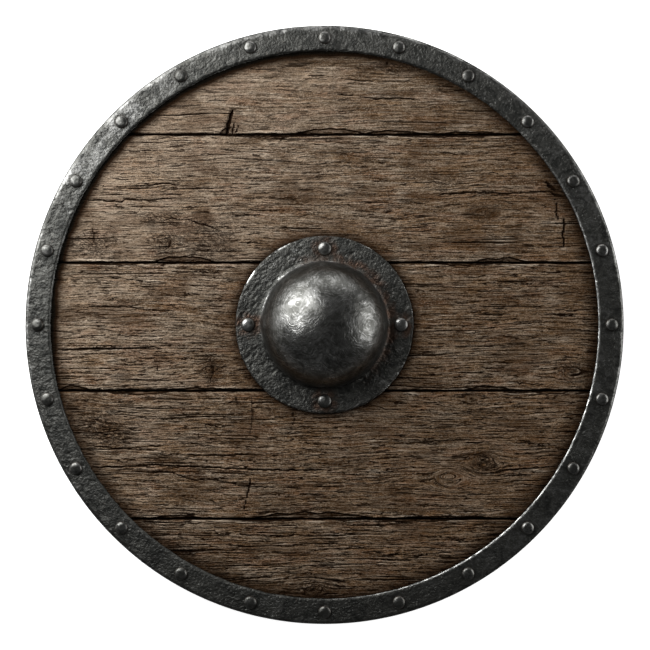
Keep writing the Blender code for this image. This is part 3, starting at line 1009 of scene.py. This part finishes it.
def forged_iron(name, iron, bareness, blotchiness, tooth_depth, blows=()):
    """Iron forged by hand, black with scale and age, rubbed bare where hands and cloth reach it, with painted
    light and shade.

    The eye sees a dark, blotchy grey with clouds of thicker scale, which catches the light on hammered
    facets and on its rough skin, paler and smoother on edges, with brown rust where water sits. Where
    it is polished the skin is nearly gone, and fine rings round the blows catch the light. Bareness,
    from 0 to 1, is how much of the scale is gone, blotchiness how unevenly, tooth_depth is how rough
    the skin is, in metres, and blows are the middles of the dents that the rings go round.
    """
    material, tree, place = new_material(name)
    # The wear layer holds real wear and painted highlights, and the soot layer grime and painted shade; both
    # go into the colour.
    wear, rust, soot, polish = (
        add_node(tree, "Attribute", {"attribute_name": layer})["Fac"]
        for layer in ("wear", "rust", "soot", "polish")
    )
    blotch = spots(tree, place, 17, 3, 0.6, 0.5)
    clouds = spots(tree, place, 15, 4, 0.6, 1.6)
    skin = spots(tree, place, 2.5, 2, 0.6, 0.3)
    pits = spots(tree, place, 2.1, 1)
    bared = [(blotch, blotchiness), (skin, 1.0), (wear, 1.0), (soot, -1.0)]
    raised = []
    if blows:
        away = None
        for x, y, z in blows:
            settings = {"operation": "DISTANCE", 0: place, 1: (x * MM, y * MM, z * MM)}
            gap = add_node(tree, "VectorMath", settings)["Value"]
            if away is not None:
                settings = {"operation": "SMOOTH_MIN", 0: away, 1: gap, 2: 6 * MM}
                gap = add_node(tree, "Math", settings)[0]
            away = gap
        away = weighted(tree, (away, 1.0), (spots(tree, place, 13, 1), 14 * MM))
        apart = add_node(tree, "SeparateXYZ", {0: place})
        ringed = add_node(tree, "CombineXYZ", {"X": away, "Y": apart["X"], "Z": apart["Y"]})[0]
        rings = spots(tree, ringed, (1.7, 14, 14), 3, 0.65, 0.25)
        swirl = spots(tree, place, 12, 3, 0.55, 2.2)
        rubbing = weighted(tree, (rings, 0.75), (swirl, 0.25))
        strands = add_node(tree, "Math", {"operation": "MULTIPLY", 0: rubbing, 1: polish})[0]
        bared += [(strands, 2.6), (polish, -1.3)]
        raised = [(strands, 0.42)]

    bared = weighted(tree, *bared)
    clouds = weighted(tree, (clouds, 1.0), (polish, 0.09), (soot, -0.12))
    rusty = weighted(tree, (rust, 1.0), (skin, 0.7))
    start = 0.5 * blotchiness + 0.5 - 0.5 * bareness
    coats = (
        (iron.bare, bared, start, start + 0.6),
        (iron.bright, bared, start + 0.5, start + 1.05, 0.9),
        (iron.thick, clouds, 0.5, 0.36, 0.62),
        (iron.bare, clouds, 0.55, 0.72, 0.3),
        (iron.rust, rusty, 0.45, 1.15, 0.8),
    )

    settings = {"From Min": start, "From Max": start + 0.9, "To Min": 0.47, "To Max": 0.33}
    matt = add_node(tree, "MapRange", {**settings, "Value": bared})[0]
    rough = weighted(tree, (matt, 1.0), (polish, -0.13))
    settings = {"From Min": 0.32, "From Max": 0.46, "To Min": -1.0, "To Max": 0.0}
    pocks = add_node(tree, "MapRange", {**settings, "Value": pits})[0]
    grained = weighted(tree, (skin, 1.0), (pocks, 0.16))
    smoothed = weighted(tree, (polish, 1.1), (blotch, 1.5), (wear, 0.6))
    settings = {"From Min": 0.65, "From Max": 1.4, "To Min": 1.0, "To Max": 0.12}
    kept = add_node(tree, "MapRange", {**settings, "Value": smoothed})[0]
    grained = add_node(tree, "Math", {"operation": "MULTIPLY", 0: grained, 1: kept})[0]
    height = weighted(tree, (grained, 1.0), *raised)
    settings = {"Base Color": coated(tree, iron.scale, coats), "Roughness": rough, "Metallic": 1.0}
    surface(tree, settings, height, tooth_depth)
    return material


def handled_oak(wood):
    """An oak bar shaped with a knife and darkened by the hand that held it: smooth, brown, half matt."""
    material, tree, place = new_material("handled_oak")
    streaks = spots(tree, place, (2.2, 40, 2.2), 4, 0.6)
    pores = spots(tree, place, (0.8, 7, 0.8))
    coats = ((wood.red, streaks, 0.35, 0.68), (wood.crack, pores, 0.62, 0.75, 0.6))
    settings = {"From Min": 0.3, "From Max": 0.7, "To Min": 0.62, "To Max": 0.45, "Value": streaks}
    rough = add_node(tree, "MapRange", settings)[0]
    settings = {"Base Color": coated(tree, wood.groove, coats), "Roughness": rough, "IOR": 1.45}
    surface(tree, settings, streaks, 0.3 * MM, 0.5)
    return material


def studio_floor(stage):
    """Matt white sheet over a light table, with the faint tooth of its paint."""
    material, tree, place = new_material("studio_floor")
    seen = add_node(tree, "LightPath")["Is Camera Ray"]
    settings = {
        "Base Color": (*stage.floor, 1),
        "Roughness": 0.9,
        "Specular IOR Level": 0.2,
        "Emission Color": (1, 1, 1, 1),
        "Emission Strength": add_node(tree, "MapRange", {"To Max": stage.glow, "Value": seen})[0],
    }
    surface(tree, settings, spots(tree, place, 4), 0.2 * MM, 0.05)
    return material


# ---- pieces


def rim_profile():
    """The rim's section: face, rounded corner, edge, back flange and the inside of the channel."""
    low, high, outer = RIM
    bend, back_width = 3.4, 22.5
    bend_start, back_lip, wall = outer - bend, outer - back_width, outer - RIM_SHEET
    drops = zip((*LIP_INSETS[:-1], bend_start - RIM_LIP), (RIM_SHEET, 1.7, 0.55, 0.1, 0.05))
    face = [(RIM_LIP + inset, high - drop) for inset, drop in drops]
    points = []
    for start, end, parts in zip(face, face[1:], (2, 3, 3, 18)):
        points += line(start, end, parts)
    points += arc((bend_start, high - bend), bend, 90, 0, 9)
    points += line((outer, high - bend), (outer, low + bend), 5)[1:]
    points += arc((bend_start, low + bend), bend, 0, -90, 4)
    points += line((bend_start, low), (back_lip, low), 4)[1:]
    points += [(back_lip, low), (back_lip, low + RIM_SHEET)]
    return [*points, (wall, low + RIM_SHEET), (wall, high - RIM_SHEET)]


def dent_rim(mesh, iron):
    """Hammers the rim's face, laps its ends, and notes where it is rubbed or rusty, where its pits hold
    grime, and where highlights and shade are painted on it.
    """
    points, normals = points_of(mesh), vectors(mesh.vertex_normals, "vector")
    x, y, z = (points / MM).T
    radius, turn = np.hypot(x, y), np.arctan2(y, x)
    low, high, outer = RIM
    length, girth = turn * RIM_MIDDLE, radius + (high - z)
    half_way = RIM_MIDDLE * np.pi
    bounds = ((-half_way, half_way), (272, 312))
    dents = hammer_marks(length, girth, spacing=7.0, sizes=(4.5, 11), seed=11, bounds=bounds)
    skin = layered_noise(x, y, 5.2, 5.2, 13, 2)
    rough = ramp(layered_noise(x, y, 34, 34, 31, 2), -0.25, 0.3)
    rocks = 1 - 2 * np.abs(layered_noise(x + 0.5 * y, y, 9, 6, 32, 2))
    steep = ramp(np.cos(turn + 0.75), -0.1, 0.75)
    lower_left = ramp(np.cos(turn + 2.3), 0.2, 0.9)
    left = ramp(np.cos(turn - 3.3), 0.7, 0.96)
    calm = np.maximum(0.7 * steep, 0.6 * lower_left)
    pits = ramp(noise(x, y, 3.4, 3.4, 14) + 0.5 * noise(x, y, 2.4, 2.4, 15), 0.5, 1.0)
    coarse = 0.15 + 0.85 * rough * (1 - calm) + 0.5 * left
    deep = iron.dent_depth * dents + 0.08 * MM * (1 + noise(x, y, 30, 30, 12))
    deep += MM * ((0.15 * (1.2 + skin) + 0.35 * (1.2 - rocks)) * coarse + 0.22 * pits)
    shown = ramp(z, low + 1, low + 8)
    edge = ramp(radius, outer - 1.6, outer - 0.2)
    points -= normals * (deep * (0.3 + 0.7 * shown) * (1 - 0.9 * edge))[:, None]

    lap = 12.0
    on_top = (y > 0) & (z > high - 3)
    step = 0.45 * ramp(x, lap - 0.8, lap + 0.8) * ramp(x, lap + 60, lap + 30)
    points[:, 2] -= np.where(on_top, step * MM * (1 - edge), 0)

    facet = ramp(ripple(length, 19, 19) + 0.4 * ripple(length, 7, 20), 0.1, 0.7)
    corner = ramp(radius, outer - 6, outer - 2.2) * (1 - edge) * ramp(z, high - 3, high - 0.5)
    points[:, 2] -= 0.55 * MM * facet * corner

    inset = radius - RIM_LIP
    narrow = np.interp(inset, LIP_INSETS, (0, 0.1, 0.45, 1.5, 7))
    wide = np.interp(inset, LIP_INSETS, (0, 0.2, 1.3, 2.7, 7))
    shaded = ramp(np.cos(turn - 2.36), 0.0, 0.7) * (1 - 0.8 * left)
    on_lip = (z > high - 2.6) * (inset < LIP_INSETS[-1])
    pull = (steep * (inset - narrow) + shaded * (inset - wide)) * on_lip
    points[:, :2] *= (1 - pull / radius)[:, None]

    lip = ramp(np.abs(inset - 0.5), 3.0, 0.6)
    wander = 0.35 * ripple(length, 16, 16) + 0.2 * ripple(length, 5, 17)
    points[:, :2] *= (1 + (wander * lip * shown / radius))[:, None]
    set_points(mesh, points)

    band = ramp(radius, outer - 4.2 - 2 * facet, outer - 2.4) * ramp(z, high - 3.0, high - 1.4)
    rubbed = np.clip(0.75 + 0.8 * noise(x, y, 34, 34, 18), 0.25, 1)
    lip_line = ramp(inset, 2.4, 1.6) * ramp(z, high - 2.2, high - 1.4)
    face = ramp(radius, outer - 3, outer - 7)
    # The top of the face, which is painted darker as shade.
    top = face * ramp(np.cos(turn - 1.45), 0.55, 1.0)
    outer_line = ramp(radius, outer - 1.9, outer - 1.1) * ramp(z, high - 2.6, high - 1.2)
    glint = steep * ramp(inset, 3.8, 3.0) * ramp(z, high - 0.9, high - 0.5)
    # Painted light, beside real wear on the corner band and the lip: the face a little lighter on the upper
    # left, a painted highlight along the corner band on the left and along the lip, strongest on the left and
    # lower left, and painted highlights on the lower right's inner edge and the upper right's outer corner.
    wear = 0.12 * shaded + (0.3 * (1 - rough) - 0.15) * (1 - steep) * ramp(inset, 4, 16)
    wear += (0.1 + 1.1 * left) * band * rubbed + (0.2 + 0.5 * lower_left + 0.9 * left) * lip_line
    wear += 1.3 * glint + 0.4 * outer_line * ramp(np.cos(turn - 0.6), 0.4, 0.9)
    # Painted shade: darker on the lower left, on the top, on the upper left's corner band where the key light
    # hits it, and a little on the lower right.
    wear -= 0.8 * lower_left + 0.2 * top + 0.15 * band * ramp(np.cos(turn - 2.3), 0.7, 1.0) + 0.1 * steep
    # Real grime in the pits, and painted shade: the inner band of the face and the lip on the upper left, a
    # ring round each rivet, and the lower left and the top of the face.
    inner = ramp(inset + 0.8 * noise(x, y, 14, 14, 26), 4.5, 1.5) * (1 - glint) * (1 - lip_line)
    below = ramp(z, high - 0.6, high - 2.2)
    raise_to(below, shaded * ramp(inset, 2.1, 1.0) * (z > high - 2.6))
    # A painted shadow round each rivet's head.
    round_rivets = ramp(from_rivets(x, y, RIM_RIVETS), 9.0, 6.2)
    soot = (0.8 - 0.4 * steep) * inner + 0.25 * pits + 1.5 * below + 0.4 * round_rivets
    soot += 0.5 * face * lower_left + 0.25 * top
    polish = np.maximum(0.3 * band, 0.25 * steep)
    add_attributes(mesh, wear=wear, rust=0.3 * pits, soot=soot, polish=polish)


def boss_profile():
    """The boss from its crown down the outside, round the flange and back up the inside."""
    low, high, radius = BOSS
    sheet, dome, root = BOSS_SHEET, 64.2, 4.2
    flange_top = low + sheet
    base = flange_top + root

    def quarter(reach, top, parts):
        turns = [math.pi / 2 * i / parts for i in range(parts + 1)]
        return [(reach * math.sin(t), base + (top - base) * math.cos(t)) for t in turns]

    points = quarter(dome, high, 66)
    points += arc((dome + root, base), root, 180, 270, 9)[1:]
    points += line((dome + root, flange_top), (radius - 1.1, flange_top - 0.05), 20)[1:]
    points += arc((radius - 1.1, flange_top - 1.15), 1.1, 90, 0, 4)
    points += [(radius, low), (dome - sheet + root, low)]
    return [*points, *reversed(quarter(dome - sheet, high - sheet, 24))]


def dent_boss(mesh, iron):
    """Hammers the dome and the flange, and notes where they are rubbed, where they rust, and where highlights
    and shade are painted on them.
    """
    points, normals = points_of(mesh), vectors(mesh.vertex_normals, "vector")
    x, y, z = (points / MM).T
    radius, turn = np.maximum(np.hypot(x, y), 1e-6), np.arctan2(y, x)
    low, high, outer = BOSS
    lean = np.arccos(np.clip((z - low) / (high - low), -1, 1))
    u, v = (np.where(radius < 66, lean * 64 * side / radius, side * 1.35) for side in (x, y))
    dents = hammer_marks(u, v, spacing=9.5, sizes=(9, 17), seed=21, bounds=((-126, 126), (-126, 126)))
    outside = normals[:, 2] > -0.2
    flat = ramp(radius, 60, 68)
    fine = 1 - 2 * np.abs(layered_noise(x + y, 1.3 * (y - x), 12, 9, 22, 3))
    # The lower left and upper right of the flange, which are painted darker as shade; their relief is kept
    # lower too.
    dull = np.maximum(ramp(np.cos(turn + 2.3), 0.2, 0.9), ramp(np.cos(turn - 0.7), 0.4, 0.9))
    rocky = ramp(layered_noise(x, y, 24, 24, 35, 2), -0.35, 0.2) * (1 - 0.35 * dull)
    pits = ramp(noise(x, y, 4.0, 4.0, 27) + 0.5 * noise(x, y, 2.6, 2.6, 28), 0.45, 1.0)
    rocks = 0.7 * (1.2 - fine) * (0.3 + 0.7 * rocky)
    deep = iron.dent_depth * dents * (0.75 + 0.5 * flat)
    deep += MM * (flat * (rocks + 0.3 * pits) + 0.02 * (1 + fine))
    for (blow_x, blow_y, _), size, depth in zip(BLOWS, (16, 15, 16), (0.14, 0.18, 0.14)):
        away = np.hypot(x - blow_x, y - blow_y) / size
        deep += depth * MM * np.exp(-(away**2) * 2.2) * (1 + 0.2 * np.cos(away * 11))
    points -= normals * np.where(outside, deep, 0.25 * deep)[:, None]

    # Where the flange's edge was struck: the direction and half width in degrees, and how hard.
    struck = ((148, 8, 1), (119, 6, 1), (62, 5, 0.3), (205, 6, 0.4), (318, 7, 0.4))
    hammered = np.zeros_like(radius)
    for degrees, half_width, share in struck:
        gap = np.abs((np.degrees(turn) - degrees + 180) % 360 - 180)
        raise_to(hammered, share * ramp(gap, half_width, half_width * 0.4))
    worn = hammered + 0.35 * ramp(noise(x, y, 9, 9, 29), 0.0, 0.6)
    edge = ramp(radius, outer - 1.4 - 2.2 * hammered, outer) * outside * ramp(z, low + 1.0, low + 2.0)
    points[:, 2] -= edge * (0.35 + 0.75 * hammered) * MM
    pull = 1 - 0.5 * ramp(noise(x, y, 22, 22, 24), 0, 0.8) * ramp(radius, outer - 5, outer) / radius
    points[:, :2] *= pull[:, None]
    set_points(mesh, points)

    crown = ramp(radius, 62, 20)
    # A highlight painted round the foot of the dome, brightest towards the upper left, which faces the key
    # light.
    root = ramp(radius, 63.0, 64.3) * ramp(radius, 66.4, 65.0)
    root = root * (0.9 + 0.7 * noise(x, y, 11, 11, 34)) * (0.75 + 0.35 * np.cos(turn - 2.4))
    specks = ramp(fine + 0.5 * noise(x, y, 7, 7, 33), 0.45, 1.1) * rocky
    plain = flat * (1 - np.clip(edge + root, 0, 1))
    wear = 0.1 * crown - 0.05 * (1 - flat) + 1.1 * edge * (0.8 + worn) + 0.75 * root
    # A painted sheen on the dome's lower left, lighter where it would be dark.
    wear += 0.3 * ramp(np.cos(turn + 2.2), 0.2, 0.9) * ramp(radius, 12, 30) * ramp(radius, 50, 34)
    # The flange's specks are real wear; its lower left and upper right are painted darker as shade.
    wear += plain * (1.3 * specks - 0.75 - 0.4 * dull)
    near_rivets = ramp(from_rivets(x, y, BOSS_RIVETS), 19, 6)
    ring = ramp(radius, 62, 66) * ramp(radius, 80, 69) * ramp(np.cos(turn - 0.5), -0.3, 0.9)
    rust = np.maximum(near_rivets, 0.8 * ring) * (0.7 + 0.8 * noise(x, y, 8, 8, 25))
    # Darker round the dome's foot and in the pits, and painted shade on the flange's lower left and upper
    # right.
    soot = 0.2 * ramp(radius, 64, 66) * ramp(radius, 74, 68) + 0.25 * pits * flat
    soot += 0.6 * dull * plain
    add_attributes(
        mesh,
        wear=np.where(outside, wear, -0.2),
        rust=np.where(outside, np.clip(rust, 0, 1), 0.3),
        soot=np.where(outside, soot, 0.3),
        polish=np.where(outside, 1 - ramp(radius, 56, 65), 0),
    )


def rivet_mesh(name, node, number, seat, head):
    """A rivet with a domed, slightly crooked head, its shank and the tail hammered over behind.

    The seat is the height of the iron under the head, and head is the head's radius, in millimetres.
    """
    x, y = rivet_place(node)
    foot, top, _ = heights_and_reach(node)
    top -= 0.1
    under = seat - 0.4
    shank, tail, tail_top = 2.8, 4.3, foot + 1.6
    turns = [math.radians(90 * i / 13) for i in range(14)]
    dome = [(head * math.sin(a) ** 0.74, under + (top - under) * abs(math.cos(a)) ** 0.72) for a in turns]
    profile = [*dome, (shank, under), (shank, tail_top), (tail, tail_top), (tail, foot + 0.9)]
    profile += [(tail * 0.8, foot + 0.25), (tail * 0.4, foot), (0, foot)]
    mesh = turned(name, profile, steps=32)
    points = points_of(mesh)
    rng = np.random.default_rng(300 + number)
    lean, slope = rng.uniform(0, 2 * math.pi), rng.uniform(0.02, 0.08)
    above = ramp(points[:, 2] / MM, under, top)
    tilt = points[:, 0] * math.cos(lean) + points[:, 1] * math.sin(lean) + head * MM
    points[:, 2] -= above * slope * tilt * 0.5
    points[:, 0] *= 1 + rng.uniform(-0.05, 0.0)
    bumps = noise(points[:, 0] / MM + 40 * number, points[:, 1] / MM, 4.3, 4.3, 301)
    points[:, 2] -= above * 0.22 * MM * (1 + bumps)
    points[:, :2] += (x, y)
    set_points(mesh, points)
    radius = np.hypot(points[:, 0] - x, points[:, 1] - y) / MM
    on_boss = node in BOSS_RIVETS
    ring = ramp(radius, head * 0.5, head * 0.75) * ramp(radius, head, head * 0.85)
    handled = 0.25 if x > 0.15 else 0.1  # the rivets on the right get a brighter painted highlight round the head
    wear = above * ((-0.1 if on_boss else -0.25) + handled * ring) + rng.uniform(-0.1, 0.1)
    if on_boss:
        # A highlight painted on the upper left of each boss rivet's head, which faces the key light.
        off_crown = np.hypot(points[:, 0] - x + 0.3 * head * MM, points[:, 1] - y - 0.3 * head * MM)
        wear += 0.45 * ramp(off_crown / MM, head * 0.5, head * 0.15)
    # Painted shade round the foot of each head.
    soot = 0.3 * ramp(radius, head * 0.75, head)
    add_attributes(mesh, wear=wear, rust=(1 - above) * 0.6, soot=soot, polish=0.7 * above)
    return mesh


def grip_mesh(low, high):
    """A bar along Y, thin where it laps the board and thick and rounded in the hand."""
    sides, rings = 48, 96
    half_width, length, height = high.x / MM, (high.y - low.y) / MM, high.z / MM
    lap = BOARD_BACK - 0.3
    shape = bmesh.new()
    bmesh.ops.create_cone(shape, cap_ends=True, segments=sides, radius1=1, radius2=1, depth=1)
    long_edges = [edge for edge in shape.edges if abs(edge.verts[0].co.z - edge.verts[1].co.z) > 0.5]
    bmesh.ops.subdivide_edges(shape, edges=long_edges, cuts=rings - 1, use_grid_fill=True)
    mesh = mesh_from("oak_grip", shape)
    around = points_of(mesh)
    angle, along = np.arctan2(around[:, 1], around[:, 0]), around[:, 2] * length
    thick = ramp(np.abs(along), 53, 45)
    tall = lap + (height - lap) * thick
    square = 10 - 6.8 * thick
    reach = (np.abs(np.cos(angle)) ** square + np.abs(np.sin(angle)) ** square) ** (-1 / square)
    end = 1 - 0.10 * ramp(np.abs(along), length / 2 - 6, length / 2) ** 2
    waist = 1 - 0.05 * thick * (1 - (along / 45) ** 2).clip(0)
    x = half_width * 0.995 * waist * end * reach * np.cos(angle)
    z = tall / 2 * (1 + reach * np.sin(angle))
    z = np.where(z < tall / 2, z, z - 0.12 * (1 + noise(x, along, 9, 22, 401)) * thick)
    z = np.maximum(z, 0)
    set_points(mesh, np.stack([x, along, z], 1) * MM)
    return turn_outwards(mesh)


class SHIELD_OT_planks(bpy.types.Operator):
    """Saw the five weathered planks to the round"""

    bl_idname = "shield.planks"
    bl_label = "Planks"

    def execute(self, context):
        wood = context.scene.shield_wood
        material = weathered_oak(wood)
        board = sawn_round()
        spare = 4 * MM  # what is sawn off past the round
        for number, node in enumerate(PLANKS, 1):
            low, high = (corner.copy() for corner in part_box(node))
            high.x = BOARD_RADIUS * MM + spare
            low.x = -high.x
            low.y, high.y = low.y - JOINT_GAP / 2, high.y + JOINT_GAP / 2
            if number in (1, len(PLANKS)):
                outside = high if number == 1 else low
                outside.y += math.copysign(spare, outside.y)
            plank = new_object(f"oak_plank_{number}", plank_mesh(number, low, high, wood))
            cut(plank, board, "INTERSECT")
            finish_piece(plank, [node], material, crease=math.radians(75))
        bpy.data.objects.remove(board)
        return {"FINISHED"}


class SHIELD_OT_rim(bpy.types.Operator):
    """Forge the iron rim"""

    bl_idname = "shield.rim"
    bl_label = "Rim"

    def execute(self, context):
        iron = context.scene.shield_iron
        mesh = turned("iron_rim", rim_profile(), steps=1344, sectors=24, closed=True)
        dent_rim(mesh, iron)
        rim = new_object("iron_rim", mesh)
        bore_for(rim, RIM_RIVETS)
        material = forged_iron("rim_iron", iron, bareness=0.1, blotchiness=1.0, tooth_depth=0.9 * MM)
        finish_piece(rim, ["rim_band"], material)
        return {"FINISHED"}


class SHIELD_OT_boss(bpy.types.Operator):
    """Raise the iron boss"""

    bl_idname = "shield.boss"
    bl_label = "Boss"

    def execute(self, context):
        iron = context.scene.shield_iron
        mesh = turned("iron_boss", boss_profile(), steps=360, sectors=12)
        dent_boss(mesh, iron)
        boss = new_object("iron_boss", mesh)
        bore_for(boss, BOSS_RIVETS)
        material = forged_iron(
            "boss_iron", iron, bareness=0.12, blotchiness=1.2, tooth_depth=0.9 * MM, blows=BLOWS
        )
        finish_piece(boss, ["boss"], material)
        return {"FINISHED"}


class SHIELD_OT_rivets(bpy.types.Operator):
    """Drive the rivets of the rim and the boss"""

    bl_idname = "shield.rivets"
    bl_label = "Rivets"

    def execute(self, context):
        iron = context.scene.shield_iron
        material = forged_iron("rivet_iron", iron, bareness=0.4, blotchiness=0.8, tooth_depth=0.5 * MM)
        seats_and_heads = {"rim": (RIM[1], 6.6), "boss": (BOSS[0] + BOSS_SHEET, 7.2)}
        for number, node in enumerate(RIM_RIVETS + BOSS_RIVETS):
            name = f"iron_{node}"
            mesh = rivet_mesh(name, node, number, *seats_and_heads[node.split("_")[0]])
            rivet = new_object(name, mesh)
            finish_piece(rivet, [node], material, crease=math.radians(60))
        return {"FINISHED"}


class SHIELD_OT_grip(bpy.types.Operator):
    """Shape the wooden grip"""

    bl_idname = "shield.grip"
    bl_label = "Grip"

    def execute(self, context):
        grip = new_object("oak_grip", grip_mesh(*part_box("grip")))
        bore_for(grip, ["boss_rivet_top", "boss_rivet_bottom"])
        finish_piece(grip, ["grip"], handled_oak(context.scene.shield_wood))
        return {"FINISHED"}


def add_softbox(name, azimuth, elevation, distance, size, power):
    """A square light that faces the shield from a compass angle and a height, in degrees."""
    light = bpy.data.lights.new(name, "AREA")
    light.shape = "RECTANGLE"
    light.size, light.size_y = size
    light.energy = power
    lamp = new_object(name, light)
    a, e = math.radians(azimuth), math.radians(elevation)
    away = (math.cos(e) * math.cos(a), math.cos(e) * math.sin(a), math.sin(e))
    lamp.location = [distance * v for v in away]
    lamp.rotation_mode = "QUATERNION"
    lamp.rotation_quaternion = (-lamp.location).to_track_quat("-Z", "Y")


class SHIELD_OT_stage(bpy.types.Operator):
    """Set the floor, the lights and the camera"""

    bl_idname = "shield.stage"
    bl_label = "Stage"

    def execute(self, context):
        stage = context.scene.shield_stage
        shape = bmesh.new()
        bmesh.ops.create_grid(shape, x_segments=8, y_segments=8, size=20)
        bmesh.ops.translate(shape, verts=shape.verts, vec=(0, 0, -0.1 * MM))
        floor = new_object("studio_floor", mesh_from("studio_floor", shape))
        floor.data.materials.append(studio_floor(stage))

        add_softbox("key_softbox", 142, 37, distance=0.80, size=(0.7, 0.65), power=10)
        add_softbox("side_softbox", 6, 14, distance=1.5, size=(1.35, 0.75), power=12)
        add_softbox("top_softbox", 94, 12, distance=1.4, size=(2.2, 0.45), power=10)
        add_softbox("left_softbox", 165, 8, distance=1.5, size=(1.8, 0.4), power=4)
        world = bpy.data.worlds.new("studio")
        world.use_nodes = True
        tree = world.node_tree
        ray = add_node(tree, "LightPath")["Is Camera Ray"]
        strength = add_node(tree, "MapRange", {"To Min": 0.075, "To Max": 1.0, "Value": ray})[0]
        tree.nodes["Background"].inputs["Color"].default_value = (1, 1, 1, 1)
        tree.links.new(strength, tree.nodes["Background"].inputs["Strength"])
        context.scene.world = world
        context.scene.view_settings.view_transform = "Standard"

        data = bpy.data.cameras.new("camera")
        data.sensor_width = 36
        data.lens = data.sensor_width * (stage.camera_height - RIM[1] * MM) / stage.view_width
        camera = new_object("camera", data)
        camera.location = (0.5 * MM, -0.2 * MM, stage.camera_height)
        context.scene.camera = camera
        return {"FINISHED"}


class SHIELD_PT_build(bpy.types.Panel):
    bl_label = "Round Shield"
    bl_idname = "SHIELD_PT_build"
    bl_space_type = "VIEW_3D"
    bl_region_type = "UI"
    bl_category = "Shield"

    def draw(self, context):
        layout = self.layout
        for group in (context.scene.shield_wood, context.scene.shield_iron, context.scene.shield_stage):
            box = layout.box()
            for name in group.__annotations__:
                box.prop(group, name)
        for operator in OPERATORS:
            layout.operator(operator.bl_idname)


GROUPS = {"shield_wood": ShieldWood, "shield_iron": ShieldIron, "shield_stage": ShieldStage}
OPERATORS = (
    SHIELD_OT_planks,
    SHIELD_OT_rim,
    SHIELD_OT_boss,
    SHIELD_OT_rivets,
    SHIELD_OT_grip,
    SHIELD_OT_stage,
)


def register():
    for cls in (*GROUPS.values(), *OPERATORS, SHIELD_PT_build):
        bpy.utils.register_class(cls)
    for name, cls in GROUPS.items():
        setattr(bpy.types.Scene, name, PointerProperty(type=cls))


def unregister():
    for name in GROUPS:
        delattr(bpy.types.Scene, name)
    for cls in reversed((*GROUPS.values(), *OPERATORS, SHIELD_PT_build)):
        bpy.utils.unregister_class(cls)


def main():
    register()
    bpy.ops.shield.planks()
    bpy.ops.shield.rim()
    bpy.ops.shield.boss()
    bpy.ops.shield.rivets()
    bpy.ops.shield.grip()
    bpy.ops.shield.stage()


if __name__ == "__main__":
    main()
